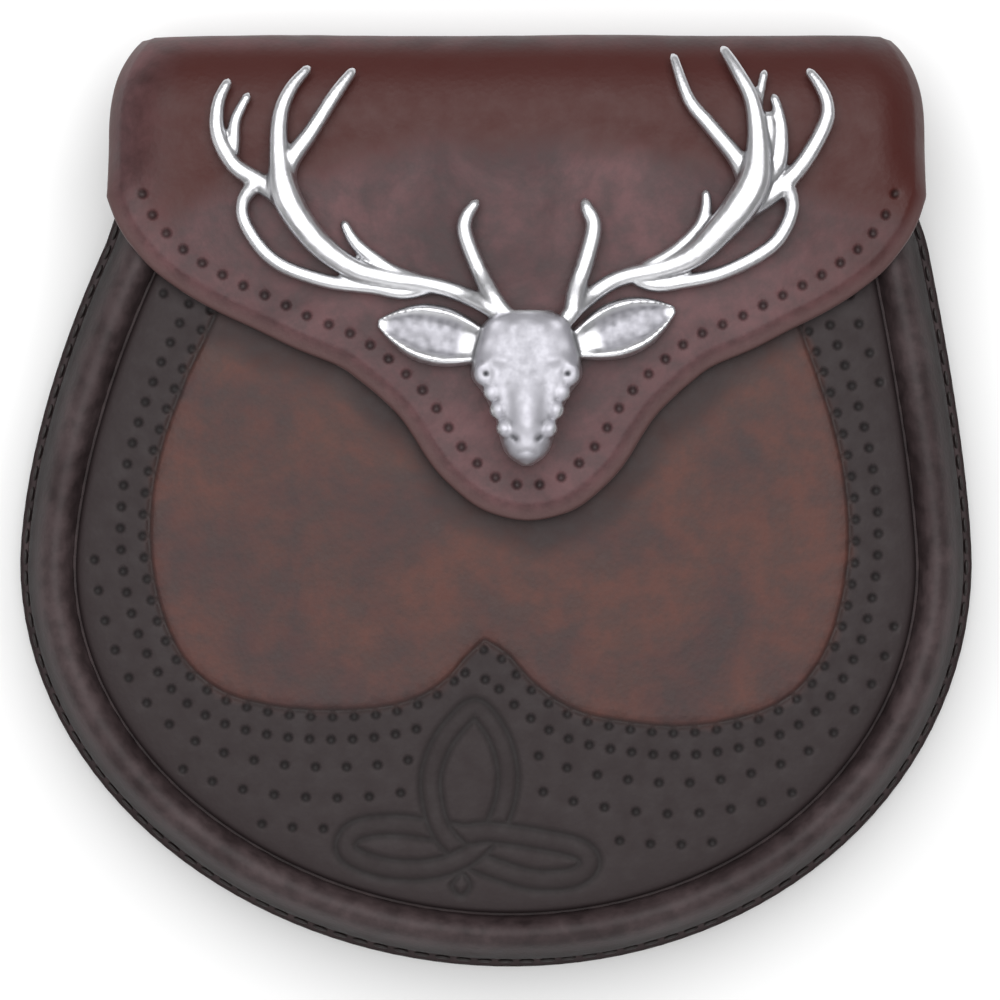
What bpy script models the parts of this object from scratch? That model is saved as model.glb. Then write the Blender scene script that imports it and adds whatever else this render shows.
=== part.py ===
"""Leather day sporran with a cast stag's head on its flap, lying on its back.

X runs across the pouch, Y up the pouch from bowl to mouth, Z out of its front.
The pouch rests on the rim of its back panel and on the two belt loops.
"""
import math

import bmesh
import bpy
from mathutils import Vector

MM = 0.001
WELD = 0.01 * MM

# Pouch outline
BODY_WIDTH = 190.0 * MM
BOWL_DEPTH = 80.8 * MM
SHOULDER_RISE = 96.0 * MM
SHOULDER_TAPER = 25.65 * MM
TAPER_POWER = 1.6
TOP_LEAN = 4.1 * MM
TOP_LEAN_REACH = 64.0 * MM
BOTTOM_LEAN = 2.9 * MM

# Leather thicknesses and the gap between pieces that touch
BACK_LEATHER = 2.2 * MM
GUSSET_LEATHER = 1.6 * MM
FRONT_LEATHER = 2.2 * MM
FLAP_LEATHER = 2.4 * MM
LOOP_LEATHER = 1.8 * MM
SEAT_GAP = 0.3 * MM

# Depth of the pouch: the back leans up from the bowl to the mouth
POUCH_DEPTH = 32.0 * MM
BACK_LIFT = 11.0 * MM
MOUTH_DROP = 12.4 * MM

# Rim of the gusset round the front panel
RIM_WIDTH = 12.2 * MM
SEAM_ALLOWANCE = 5.0 * MM
GROOVE_DIP = 4.3 * MM
GROOVE_WIDTH = 1.6 * MM
FRONT_RISE = 2.8 * MM

# Flap
FLAP_WIDTH = 159.8 * MM
FLAP_FALL = 95.2 * MM
FLAP_SHIFT = 4.0 * MM
TONGUE_SHIFT = 2.3 * MM
ROLL_OVERHANG = 8.0 * MM
ROLL_FRONT = 18.0 * MM
FLAP_SEAM_WIDTH = 20.0 * MM
FLAP_TOP_PINCH = 8.0 * MM
FLAP_PINCH_REACH = 22.4 * MM
PINCH_POWER = 2.6
FLAP_BOW = 2.2 * MM
FLAP_WRAP = 7.0 * MM
FLAP_WRAP_START = 0.86
FLAP_WRAP_EASE = 18.0 * MM
FLAP_CORNER_FALL = 38.4 * MM

# Stud under the tongue
STUD_DIAMETER = 12.0 * MM
STUD_THICKNESS = 1.2 * MM
STUD_ABOVE_TIP = 13.0 * MM

# Belt loops
LOOP_WIDTH = 20.0 * MM
LOOP_SPACING = 84.0 * MM
LOOP_LENGTH = 48.0 * MM
LOOP_BELOW_FLAP = 3.0 * MM
LOOP_SEWN_END = 8.0 * MM

# Cast badge
ANTLER_SPREAD = 120.0 * MM
ANTLER_RISE = 50.0 * MM
ANTLER_THICKNESS = 5.2 * MM
TINE_LIFT = 0.8 * MM
TINE_SETBACK = 6.0 * MM
HEAD_LENGTH = 30.0 * MM
HEAD_WIDTH = 22.6 * MM
HEAD_RELIEF = 10.5 * MM
HEAD_FULLNESS = 0.8
EAR_LENGTH = 19.5 * MM
EAR_WIDTH = 10.6 * MM
EAR_RELIEF = 4.2 * MM
EYE_DIAMETER = 3.6 * MM
BADGE_ABOVE_TIP = 40.6 * MM
POST_DIAMETER = 3.0 * MM
POST_HEAD_DIAMETER = 6.0 * MM
POST_HEAD_THICKNESS = 0.7 * MM
POST_CLEARANCE = 0.3 * MM

# How finely the round forms are cut
SIDE_STATIONS = 6
BOWL_STATIONS = 26
MOUTH_STATIONS = 8
TINE_STATIONS = 5
ROUND_SIDES = 16
HEAD_SIDES = 10
EYE_SIDES = 10
ROLL_TURNS = (-90, -60, -30, 0, 18, 36, 54, 72, 90)
FLAP_SHARES = (0.17, 0.34, 0.51, 0.68, 0.85, 1.0)

# Positions that follow from the sizes above
TOTAL_HEIGHT = BOWL_DEPTH + SHOULDER_RISE + ROLL_OVERHANG
BOTTOM_Y = -TOTAL_HEIGHT / 2
WIDEST_Y = BOTTOM_Y + BOWL_DEPTH
BACK_TOP_Y = WIDEST_Y + SHOULDER_RISE
ROLL_TOP_Y = TOTAL_HEIGHT / 2
MOUTH_Y = BACK_TOP_Y - MOUTH_DROP
TONGUE_Y = ROLL_TOP_Y - FLAP_FALL
FLAP_CORNER_Y = ROLL_TOP_Y - FLAP_CORNER_FALL
BACK_SLOPE = BACK_LIFT / (BACK_TOP_Y - BOTTOM_Y)
CREST_Z = POUCH_DEPTH - GUSSET_LEATHER / 2
GROOVE_Z = CREST_Z - GROOVE_DIP
FRONT_EDGE_Z = GROOVE_Z + GUSSET_LEATHER / 2 + SEAT_GAP + FRONT_LEATHER / 2
FRONT_TOP_Z = FRONT_EDGE_Z + FRONT_RISE + FRONT_LEATHER / 2
FLAP_FACE_Z = FRONT_TOP_Z + SEAT_GAP + STUD_THICKNESS + SEAT_GAP + FLAP_LEATHER / 2
BADGE_Y = TONGUE_Y + BADGE_ABOVE_TIP
FLAP_CENTRE_X = FLAP_SHIFT + TONGUE_SHIFT

# Gusset wall from its sewn edge up to the crest.
# inset: share of RIM_WIDTH, rise: share of the wall's height
GUSSET_WALL = (
    # inset, rise
    (0.015, 0.00),
    (0.120, 0.00),
    (0.200, 0.02),
    (0.245, 0.11),
    (0.265, 0.30),
    (0.310, 0.52),
    (0.385, 0.72),
    (0.495, 0.88),
    (0.610, 0.97),
    (0.725, 1.00),
)
# Gusset from the crest down into the groove.
# inset: share of RIM_WIDTH, dip: share of GROOVE_DIP
GUSSET_GROOVE = (
    # inset, dip
    (0.830, 0.10),
    (0.905, 0.42),
    (0.955, 0.82),
    (1.020, 1.00),
)
# Rings of the front panel, from its edge to its middle.
# reach: share of the way out from the middle, rise: share of FRONT_RISE
FRONT_RINGS = (
    # reach, rise
    (1.00, 0.00),
    (0.97, 0.36),
    (0.88, 0.60),
    (0.70, 0.82),
    (0.40, 0.96),
)
# Lower edge of the flap, from the tongue out to a corner, the same on both sides.
# across: share of half the flap's width, fall: share of FLAP_FALL
FLAP_EDGE = (
    # across, fall
    (0.000, 1.000),
    (0.072, 0.990),
    (0.135, 0.966),
    (0.205, 0.915),
    (0.245, 0.873),
    (0.275, 0.832),
    (0.310, 0.789),
    (0.354, 0.751),
    (0.405, 0.715),
    (0.456, 0.685),
    (0.556, 0.650),
    (0.654, 0.609),
    (0.740, 0.574),
    (0.820, 0.534),
    (0.888, 0.490),
    (0.937, 0.443),
    (0.970, 0.400),
    (1.000, 0.338),
)
# A belt loop between its sewn ends.
# along: share of half the loose length, bow: share of the way out to the resting surface
LOOP_BOW = (
    # along, bow
    (-1.00, 0.00),
    (-0.85, 0.03),
    (-0.62, 0.50),
    (-0.45, 0.94),
    (-0.32, 1.00),
    (0.32, 1.00),
    (0.45, 0.94),
    (0.62, 0.50),
    (0.85, 0.03),
    (1.00, 0.00),
)
# Stag's head from the crown to the muzzle.
# down: share of HEAD_LENGTH, half_width: share of HEAD_WIDTH, relief: share of HEAD_RELIEF
HEAD_SECTIONS = (
    # down, half_width, relief
    (0.00, 0.20, 0.30),
    (0.08, 0.40, 0.58),
    (0.19, 0.46, 0.76),
    (0.32, 0.50, 0.84),
    (0.43, 0.48, 0.88),
    (0.52, 0.41, 0.92),
    (0.61, 0.35, 0.97),
    (0.70, 0.30, 1.00),
    (0.80, 0.27, 0.98),
    (0.89, 0.25, 0.90),
    (0.96, 0.19, 0.68),
    (1.00, 0.09, 0.40),
)
# An ear from its root in the head to its tip.
# along: share of EAR_LENGTH, half_width: share of EAR_WIDTH, rim and dish: shares of EAR_RELIEF
EAR_SECTIONS = (
    # along, half_width, rim, dish
    (-0.10, 0.24, 0.80, 0.80),
    (0.12, 0.40, 0.92, 0.55),
    (0.35, 0.50, 1.00, 0.42),
    (0.60, 0.46, 0.90, 0.40),
    (0.82, 0.28, 0.66, 0.42),
    (1.00, 0.06, 0.40, 0.36),
)
# Across an ear, flat behind and dished in front.
# over: share of the ear's half width, rim and dish: shares of the section's own
EAR_PROFILE = (
    # over, rim, dish
    (-1.0, 0.0, 0.0),
    (-1.0, 0.6, 0.0),
    (-0.8, 1.0, 0.0),
    (-0.4, 0.0, 1.0),
    (0.4, 0.0, 1.0),
    (0.8, 1.0, 0.0),
    (1.0, 0.6, 0.0),
    (1.0, 0.0, 0.0),
)
# Ears, placed from the crown.
# across: share of HEAD_WIDTH, down: share of HEAD_LENGTH, turn: degrees above level, size: share
EARS = {
    # across, down, turn, size
    "left": (-0.43, 0.20, 161.0, 1.00),
    "right": (0.47, 0.18, 25.0, 0.94),
}
# Eyes: shares of HEAD_WIDTH, HEAD_LENGTH and HEAD_RELIEF
EYE_ACROSS = 0.39
EYE_DOWN = 0.41
EYE_UP = 0.58
# Antlers: each tine runs from its root through its middle to its tip.
# across: share of half the spread, up: share of ANTLER_RISE, thick: share of ANTLER_THICKNESS
TINES = {
    # root (across, up, thick), middle (across, up, thick), tip (across, up, thick)
    "left_beam": ((-0.07, -0.06, 0.52), (-0.26, 0.09, 0.52), (-0.48, 0.13, 0.66)),
    "left_palm": ((-0.45, 0.12, 0.64), (-0.68, 0.27, 0.82), (-0.80, 0.47, 0.86)),
    "left_fork": ((-0.79, 0.44, 0.62), (-0.98, 0.59, 0.50), (-0.98, 0.88, 0.26)),
    "left_spur": ((-0.99, 0.62, 0.40), (-0.95, 0.73, 0.40), (-0.91, 0.82, 0.22)),
    "left_inner": ((-0.80, 0.46, 0.62), (-0.81, 0.69, 0.49), (-0.73, 0.91, 0.26)),
    "left_outer": ((-0.80, 0.52, 0.56), (-0.71, 0.70, 0.47), (-0.58, 0.91, 0.26)),
    "left_guard": ((-0.36, 0.08, 0.50), (-0.64, 0.11, 0.45), (-0.86, 0.24, 0.46)),
    "left_guard_end": ((-0.84, 0.22, 0.46), (-0.92, 0.36, 0.43), (-0.87, 0.51, 0.46)),
    "left_bez": ((-0.34, 0.10, 0.42), (-0.49, 0.18, 0.46), (-0.60, 0.34, 0.25)),
    "left_brow": ((-0.12, 0.02, 0.54), (-0.18, 0.22, 0.48), (-0.17, 0.41, 0.24)),
    "right_beam": ((0.11, -0.05, 0.54), (0.26, 0.11, 0.54), (0.44, 0.15, 0.66)),
    "right_palm": ((0.42, 0.15, 0.64), (0.62, 0.32, 0.86), (0.73, 0.52, 1.00)),
    "right_inner": ((0.71, 0.50, 0.64), (0.60, 0.70, 0.48), (0.46, 0.98, 0.26)),
    "right_second": ((0.73, 0.50, 0.66), (0.73, 0.76, 0.54), (0.64, 1.00, 0.25)),
    "right_third": ((0.77, 0.55, 0.46), (0.76, 0.75, 0.36), (0.76, 0.90, 0.22)),
    "right_fourth": ((0.78, 0.53, 0.50), (0.79, 0.70, 0.47), (0.77, 0.85, 0.25)),
    "right_fork": ((0.73, 0.41, 0.62), (0.91, 0.62, 0.52), (0.91, 0.92, 0.26)),
    "right_guard": ((0.37, 0.12, 0.46), (0.60, 0.11, 0.43), (0.77, 0.24, 0.46)),
    "right_guard_end": ((0.75, 0.22, 0.46), (0.86, 0.38, 0.45), (0.83, 0.54, 0.48)),
    "right_bez": ((0.38, 0.14, 0.46), (0.53, 0.28, 0.46), (0.56, 0.45, 0.25)),
    "right_brow": ((0.13, 0.00, 0.58), (0.18, 0.23, 0.56), (0.17, 0.43, 0.27)),
}
# Cast posts behind the badge.
# across: share of half the spread, up: share of ANTLER_RISE
POSTS = (
    # across, up
    (0.00, -0.22),
    (-0.62, 0.22),
    (0.60, 0.30),
)
# Colour, roughness and metallic value of each piece
FINISHES = {
    "back_panel": ((0.030, 0.022, 0.020), 0.62, 0.0),
    "gusset": ((0.048, 0.038, 0.034), 0.55, 0.0),
    "front_panel": ((0.085, 0.050, 0.042), 0.58, 0.0),
    "flap": ((0.105, 0.055, 0.050), 0.48, 0.0),
    "stag_head_badge": ((0.78, 0.78, 0.79), 0.28, 1.0),
    "flap_stud": ((0.50, 0.47, 0.42), 0.40, 1.0),
    "belt_loop_left": ((0.030, 0.022, 0.020), 0.60, 0.0),
    "belt_loop_right": ((0.030, 0.022, 0.020), 0.60, 0.0),
}


def clear_scene():
    for old in list(bpy.data.objects):
        bpy.data.objects.remove(old, do_unlink=True)


def new_collection(name):
    made = bpy.data.collections.new(name)
    bpy.context.scene.collection.children.link(made)
    return made


def finish(piece):
    """Gives a piece its material and smooth shading."""
    colour, roughness, metallic = FINISHES[piece.name]
    made = bpy.data.materials.new(piece.name)
    made.use_nodes = True
    shader = made.node_tree.nodes["Principled BSDF"]
    shader.inputs["Base Color"].default_value = (*colour, 1.0)
    shader.inputs["Roughness"].default_value = roughness
    shader.inputs["Metallic"].default_value = metallic
    piece.data.materials.append(made)
    return piece


def mesh_object(name, points, faces, collection):
    mesh = bpy.data.meshes.new(name)
    mesh.from_pydata(points, [], faces)
    mesh.validate()
    made = bpy.data.objects.new(name, mesh)
    collection.objects.link(made)
    return made


def as_cutter(shape):
    shape.hide_render = True
    shape.display_type = "WIRE"
    return shape


def bridge(rows, wrap=False):
    """Quads between neighbouring rows of points, which may close on themselves."""
    width = len(rows[0])
    points = [tuple(point) for row in rows for point in row]
    steps = width if wrap else width - 1
    faces = []
    for row in range(len(rows) - 1):
        for step in range(steps):
            near = row * width + step
            far = row * width + (step + 1) % width
            faces.append((near, far, far + width, near + width))
    return points, faces


def smooth(piece, angle=40.0):
    piece.data.shade_smooth()
    piece.data.set_sharp_from_angle(angle=math.radians(angle))
    return piece


def solidify(piece, leather):
    skin = piece.modifiers.new("leather", "SOLIDIFY")
    skin.thickness = leather
    skin.offset = 0.0
    skin.use_even_offset = True
    return smooth(piece)


def loft(name, sections, collection):
    """Closed body through closed sections, with a cap at each end."""
    points, faces = bridge(sections, wrap=True)
    width = len(sections[0])
    last = (len(sections) - 1) * width
    faces.append(tuple(reversed(range(width))))
    faces.append(tuple(range(last, last + width)))
    made = mesh_object(name, points, faces, collection)
    edit = bmesh.new()
    edit.from_mesh(made.data)
    bmesh.ops.recalc_face_normals(edit, faces=edit.faces)
    edit.to_mesh(made.data)
    edit.free()
    return smooth(made)


# Pouch outline
def half_width(y):
    """Half of the pouch's width at height y: an ellipse below, a curved taper above."""
    if y < WIDEST_Y:
        share = min(1.0, (WIDEST_Y - y) / BOWL_DEPTH)
        return BODY_WIDTH / 2 * math.sqrt(1.0 - share * share)
    share = (y - WIDEST_Y) / SHOULDER_RISE
    return BODY_WIDTH / 2 - SHOULDER_TAPER * share ** TAPER_POWER


def lean(y):
    """How far the pouch's middle stands to the right at height y."""
    if y < WIDEST_Y:
        return BOTTOM_LEAN * ((WIDEST_Y - y) / BOWL_DEPTH) ** 2
    return TOP_LEAN * min(1.0, (y - WIDEST_Y) / TOP_LEAN_REACH) ** 2


def outline(top_y):
    """Points down the right side, round the bowl and up the left side."""
    points = []
    for step in range(SIDE_STATIONS):
        y = top_y + (WIDEST_Y - top_y) * step / SIDE_STATIONS
        points.append(Vector((lean(y) + half_width(y), y)))
    for step in range(BOWL_STATIONS + 1):
        turn = math.pi * step / BOWL_STATIONS
        y = WIDEST_Y - BOWL_DEPTH * math.sin(turn)
        points.append(Vector((lean(y) + BODY_WIDTH / 2 * math.cos(turn), y)))
    for step in range(1, SIDE_STATIONS + 1):
        y = WIDEST_Y + (top_y - WIDEST_Y) * step / SIDE_STATIONS
        points.append(Vector((lean(y) - half_width(y), y)))
    return points


def inward(points):
    """Unit vector into the pouch at each point of the outline."""
    normals = []
    last = len(points) - 1
    for place in range(len(points)):
        along = points[min(place + 1, last)] - points[max(place - 1, 0)]
        normals.append(Vector((along.y, -along.x)).normalized())
    return normals


def inset_outline(top_y, inset):
    """The outline moved inward, with both its ends still on the mouth's line."""
    points = outline(top_y)
    normals = inward(points)
    moved = [point + normal * inset for point, normal in zip(points, normals)]
    for end in (0, -1):
        along = Vector((-normals[end].y, normals[end].x))
        moved[end] += along * ((top_y - moved[end].y) / along.y)
    return moved


def back_face(y):
    """Height of the back panel's outer face above the surface that it lies on."""
    return (y - BOTTOM_Y) * BACK_SLOPE


# Pouch
def make_back_panel(collection):
    tilt = math.atan(BACK_SLOPE)
    flat = bpy.data.curves.new("back_panel", "CURVE")
    flat.dimensions = "2D"
    flat.fill_mode = "BOTH"
    flat.extrude = BACK_LEATHER / 2
    edge = outline(BACK_TOP_Y)
    spline = flat.splines.new("POLY")
    spline.points.add(len(edge) - 1)
    for place, point in zip(spline.points, edge):
        place.co = (point.x, (point.y - BOTTOM_Y) / math.cos(tilt), 0.0, 1.0)
    spline.use_cyclic_u = True
    made = bpy.data.objects.new("back_panel", flat)
    made.rotation_euler.x = tilt
    half = BACK_LEATHER / 2
    made.location = (0.0, BOTTOM_Y - half * math.sin(tilt), half * math.cos(tilt))
    collection.objects.link(made)
    return finish(made)


def wall_height(y, rise):
    """Height of the gusset's wall between its seat on the back panel and its crest."""
    seat = back_face(y) + BACK_LEATHER + SEAT_GAP + GUSSET_LEATHER / 2
    return seat + (CREST_Z - seat) * rise


def make_gusset(collection):
    lines = []
    for inset, rise in GUSSET_WALL:
        line = inset_outline(MOUTH_Y, RIM_WIDTH * inset)
        lines.append([(place.x, place.y, wall_height(place.y, rise)) for place in line])
    for inset, dip in GUSSET_GROOVE:
        line = inset_outline(MOUTH_Y, RIM_WIDTH * inset)
        lines.append([(place.x, place.y, CREST_Z - GROOVE_DIP * dip) for place in line])
    line = inset_outline(MOUTH_Y, RIM_WIDTH + SEAM_ALLOWANCE)
    lines.append([(place.x, place.y, GROOVE_Z) for place in line])
    points, faces = bridge(lines)
    made = mesh_object("gusset", points, faces, collection)
    return finish(solidify(made, GUSSET_LEATHER))


def make_front_panel(collection):
    edge = inset_outline(MOUTH_Y, RIM_WIDTH + GROOVE_WIDTH / 2)
    left, right = edge[-1], edge[0]
    for step in range(1, MOUTH_STATIONS):
        edge.append(left.lerp(right, step / MOUTH_STATIONS))
    middle = Vector((0.0, (MOUTH_Y + BOTTOM_Y) / 2))
    rings = []
    for reach, rise in FRONT_RINGS:
        height = FRONT_EDGE_Z + FRONT_RISE * rise
        ring = [middle.lerp(point, reach) for point in edge]
        rings.append([(point.x, point.y, height) for point in ring])
    points, faces = bridge(rings, wrap=True)
    hub = len(points)
    points.append((middle.x, middle.y, FRONT_EDGE_Z + FRONT_RISE))
    inner = hub - len(edge)
    for step in range(len(edge)):
        faces.append((inner + step, inner + (step + 1) % len(edge), hub))
    made = mesh_object("front_panel", points, faces, collection)
    return finish(solidify(made, FRONT_LEATHER))


# Flap
def flap_bow(across, y):
    """How far the flap's face lies below its middle: bowed across, its upper sides wrapped back."""
    past = max(0.0, (abs(across) - FLAP_WRAP_START) / (1.0 - FLAP_WRAP_START))
    above = min(1.0, max(0.0, (y - FLAP_CORNER_Y) / FLAP_WRAP_EASE))
    eased = above * above * (3.0 - 2.0 * above)
    return FLAP_BOW * across ** 2 + FLAP_WRAP * past ** 2 * eased


def flap_half_width(y):
    past = max(0.0, 1.0 - (ROLL_TOP_Y - y) / FLAP_PINCH_REACH)
    return FLAP_WIDTH / 2 - FLAP_TOP_PINCH * past ** PINCH_POWER


def flap_x(across, half):
    return FLAP_SHIFT + half * across + TONGUE_SHIFT * (1.0 - across ** 2)


def seam_places(apex_y, turn_y, drop):
    """The flap's sewn stretch behind the back panel, as (y, z, y that sets its width)."""
    seam_y = BACK_TOP_Y - FLAP_SEAM_WIDTH
    places = []
    for share in (0.0, 0.5):
        y = seam_y + (turn_y - seam_y) * share
        places.append((y, back_face(y) - drop, apex_y))
    return places


def flap_column(across, fall):
    """Middle of the leather from the sewn edge, over the roll, to the lower edge."""
    half_leather = FLAP_LEATHER / 2
    drop = SEAT_GAP + half_leather
    apex_y = ROLL_TOP_Y - half_leather
    back_turn_y = BACK_TOP_Y + SEAT_GAP
    front_turn_y = ROLL_TOP_Y - ROLL_FRONT
    face_z = FLAP_FACE_Z - flap_bow(across, front_turn_y)
    seam_z = back_face(back_turn_y) - drop
    middle_z = (face_z + seam_z) / 2
    places = seam_places(apex_y, back_turn_y, drop)
    for degrees in ROLL_TURNS:
        turn = math.radians(degrees)
        start_y = back_turn_y if degrees < 0 else front_turn_y
        end_z = seam_z if degrees < 0 else face_z
        y = start_y + (apex_y - start_y) * math.cos(turn)
        z = middle_z + abs(math.sin(turn)) * (end_z - middle_z)
        places.append((y, z, apex_y if degrees < 0 else y))
    low_y = ROLL_TOP_Y - FLAP_FALL * fall
    for share in FLAP_SHARES:
        y = front_turn_y + (low_y - front_turn_y) * share
        places.append((y, FLAP_FACE_Z - flap_bow(across, y), y))
    return [(flap_x(across, flap_half_width(width_y)), y, z) for y, z, width_y in places]


def make_flap(collection, cutters):
    left = [(-across, fall) for across, fall in reversed(FLAP_EDGE[1:])]
    columns = [flap_column(across, fall) for across, fall in left + list(FLAP_EDGE)]
    points, faces = bridge(columns)
    made = mesh_object("flap", points, faces, collection)
    solidify(made, FLAP_LEATHER)
    hole = POST_DIAMETER / 2 + POST_CLEARANCE
    for number, (across, up) in enumerate(POSTS):
        x, y = badge_place(across, up)
        face = flap_face(x)
        low, high = face - FLAP_LEATHER * 2, face + FLAP_LEATHER
        cutter = as_cutter(cylinder(f"post_hole_{number}", x, y, low, high, hole, cutters))
        cut = made.modifiers.new(f"post_hole_{number}", "BOOLEAN")
        cut.object = cutter
        cut.operation = "DIFFERENCE"
        cut.solver = "EXACT"
    return finish(made)


def flap_face(x):
    """Height of the flap's outer face at x, below the roll."""
    across = (x - FLAP_CENTRE_X) / (FLAP_WIDTH / 2)
    return FLAP_FACE_Z + FLAP_LEATHER / 2 - FLAP_BOW * across ** 2


# Small hardware
def cylinder(name, x, y, low, high, radius, collection):
    edit = bmesh.new()
    bmesh.ops.create_cone(
        edit, cap_ends=True, segments=ROUND_SIDES, radius1=radius, radius2=radius, depth=high - low
    )
    mesh = bpy.data.meshes.new(name)
    edit.to_mesh(mesh)
    edit.free()
    made = bpy.data.objects.new(name, mesh)
    made.location = (x, y, (low + high) / 2)
    collection.objects.link(made)
    return smooth(made)


def make_flap_stud(collection):
    low = FRONT_TOP_Z + SEAT_GAP
    y = TONGUE_Y + STUD_ABOVE_TIP
    made = cylinder(
        "flap_stud", FLAP_CENTRE_X, y, low, low + STUD_THICKNESS, STUD_DIAMETER / 2, collection
    )
    return finish(made)


def make_belt_loop(name, side, collection):
    """A leather strip, sewn down at both ends, that bows out to the resting surface."""
    top_y = BACK_TOP_Y - FLAP_SEAM_WIDTH - LOOP_BELOW_FLAP
    low_y = top_y - LOOP_LENGTH
    half_leather = LOOP_LEATHER / 2
    bend = LOOP_LENGTH / 2 - LOOP_SEWN_END
    rows = []
    for along, bow in LOOP_BOW:
        rows.append(((low_y + top_y) / 2 + bend * along, bow))
    rows.insert(0, (low_y, 0))
    rows.append((top_y, 0))
    grid = []
    for y, bow in rows:
        sewn_z = back_face(y) - SEAT_GAP - half_leather
        z = sewn_z + (half_leather - sewn_z) * bow
        x = side * LOOP_SPACING / 2
        grid.append([(x + LOOP_WIDTH * share, y, z) for share in (-0.5, 0.5)])
    points, faces = bridge(grid)
    made = mesh_object(name, points, faces, collection)
    return finish(solidify(made, LOOP_LEATHER))


# Cast badge
def badge_place(across, up):
    return FLAP_CENTRE_X + ANTLER_SPREAD / 2 * across, BADGE_Y + ANTLER_RISE * up


def badge_seat(x, y):
    """Height of the badge's back: it lies on the flap, and its tips follow the roll."""
    past = max(0.0, 1.0 - (ROLL_TOP_Y - y) / ROLL_FRONT)
    return flap_face(x) + SEAT_GAP - TINE_SETBACK * past ** 2


def through(root, middle, tip, share):
    """A smooth value that is root at 0, middle at a half and tip at 1."""
    rest = 1.0 - share
    bend = 2.0 * middle - (root + tip) / 2
    return rest * rest * root + 2.0 * rest * share * bend + share * share * tip


def make_tine(name, marks, collection):
    curve = bpy.data.curves.new(name, "CURVE")
    curve.dimensions = "3D"
    curve.bevel_depth = ANTLER_THICKNESS / 2
    curve.bevel_resolution = 1
    curve.use_fill_caps = True
    spline = curve.splines.new("POLY")
    spline.points.add(TINE_STATIONS)
    for step, place in enumerate(spline.points):
        share = step / TINE_STATIONS
        across, up, thick = (through(*column, share) for column in zip(*marks))
        x, y = badge_place(across, up)
        height = badge_seat(x, y) + ANTLER_THICKNESS / 2 * thick + TINE_LIFT * share
        place.co = (x, y, height, 1.0)
        place.radius = thick
    drawn = bpy.data.objects.new(name, curve)
    collection.objects.link(drawn)
    bpy.context.view_layer.update()
    drawn_now = drawn.evaluated_get(bpy.context.evaluated_depsgraph_get())
    mesh = bpy.data.meshes.new_from_object(drawn_now)
    bpy.data.objects.remove(drawn, do_unlink=True)
    edit = bmesh.new()
    edit.from_mesh(mesh)
    bmesh.ops.remove_doubles(edit, verts=edit.verts, dist=WELD)
    bmesh.ops.recalc_face_normals(edit, faces=edit.faces)
    edit.to_mesh(mesh)
    edit.free()
    made = bpy.data.objects.new(name, mesh)
    collection.objects.link(made)
    return as_cutter(made)


def make_head(name, collection):
    base = badge_seat(FLAP_CENTRE_X, BADGE_Y)
    sections = []
    for down, half, relief in HEAD_SECTIONS:
        y = BADGE_Y - HEAD_LENGTH * down
        ring = []
        for step in range(HEAD_SIDES + 1):
            turn = math.pi * step / HEAD_SIDES
            x = FLAP_CENTRE_X + HEAD_WIDTH * half * math.cos(turn)
            ring.append((x, y, base + HEAD_RELIEF * relief * math.sin(turn) ** HEAD_FULLNESS))
        sections.append(ring)
    return loft(name, sections, collection)


def make_ear(side, collection):
    across, down, turn, size = EARS[side]
    root = Vector((FLAP_CENTRE_X + HEAD_WIDTH * across, BADGE_Y - HEAD_LENGTH * down))
    turned = math.radians(turn)
    along_ear = Vector((math.cos(turned), math.sin(turned)))
    over_ear = Vector((-along_ear.y, along_ear.x))
    base = badge_seat(root.x, root.y)
    sections = []
    for along, half, rim, dish in EAR_SECTIONS:
        middle = root + along_ear * (EAR_LENGTH * size * along)
        reach = EAR_WIDTH * size * half
        ring = []
        for over, rim_share, dish_share in EAR_PROFILE:
            place = middle + over_ear * (reach * over)
            height = EAR_RELIEF * (rim_share * rim + dish_share * dish)
            ring.append((place.x, place.y, base + height))
        sections.append(ring)
    return as_cutter(loft(f"{side}_ear", sections, collection))


def make_eye(side, collection):
    edit = bmesh.new()
    bmesh.ops.create_uvsphere(
        edit, u_segments=EYE_SIDES, v_segments=EYE_SIDES // 2 + 1, radius=EYE_DIAMETER / 2
    )
    mesh = bpy.data.meshes.new("eye")
    edit.to_mesh(mesh)
    edit.free()
    made = bpy.data.objects.new("eye", mesh)
    x = FLAP_CENTRE_X + side * HEAD_WIDTH * EYE_ACROSS
    y = BADGE_Y - HEAD_LENGTH * EYE_DOWN
    made.location = (x, y, badge_seat(x, y) + HEAD_RELIEF * EYE_UP)
    collection.objects.link(made)
    return as_cutter(made)


def make_post(number, across, up, collection):
    """A cast post through the flap, with its end spread inside the flap."""
    x, y = badge_place(across, up)
    face = flap_face(x)
    inside = face - FLAP_LEATHER - SEAT_GAP
    end = inside - POST_HEAD_THICKNESS
    top = face + SEAT_GAP + ANTLER_THICKNESS / 4
    as_cutter(cylinder(f"post_{number}", x, y, end, top, POST_DIAMETER / 2, collection))
    spread = POST_HEAD_DIAMETER / 2
    as_cutter(cylinder(f"post_head_{number}", x, y, end, inside, spread, collection))


def make_badge(collection, castings):
    made = make_head("stag_head_badge", collection)
    for name, marks in TINES.items():
        make_tine(name, marks, castings)
    for side in EARS:
        make_ear(side, castings)
    for side in (-1, 1):
        make_eye(side, castings)
    for number, (across, up) in enumerate(POSTS):
        make_post(number, across, up, castings)
    cast = made.modifiers.new("cast in one", "BOOLEAN")
    cast.operand_type = "COLLECTION"
    cast.collection = castings
    cast.operation = "UNION"
    cast.solver = "EXACT"
    return finish(made)


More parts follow.
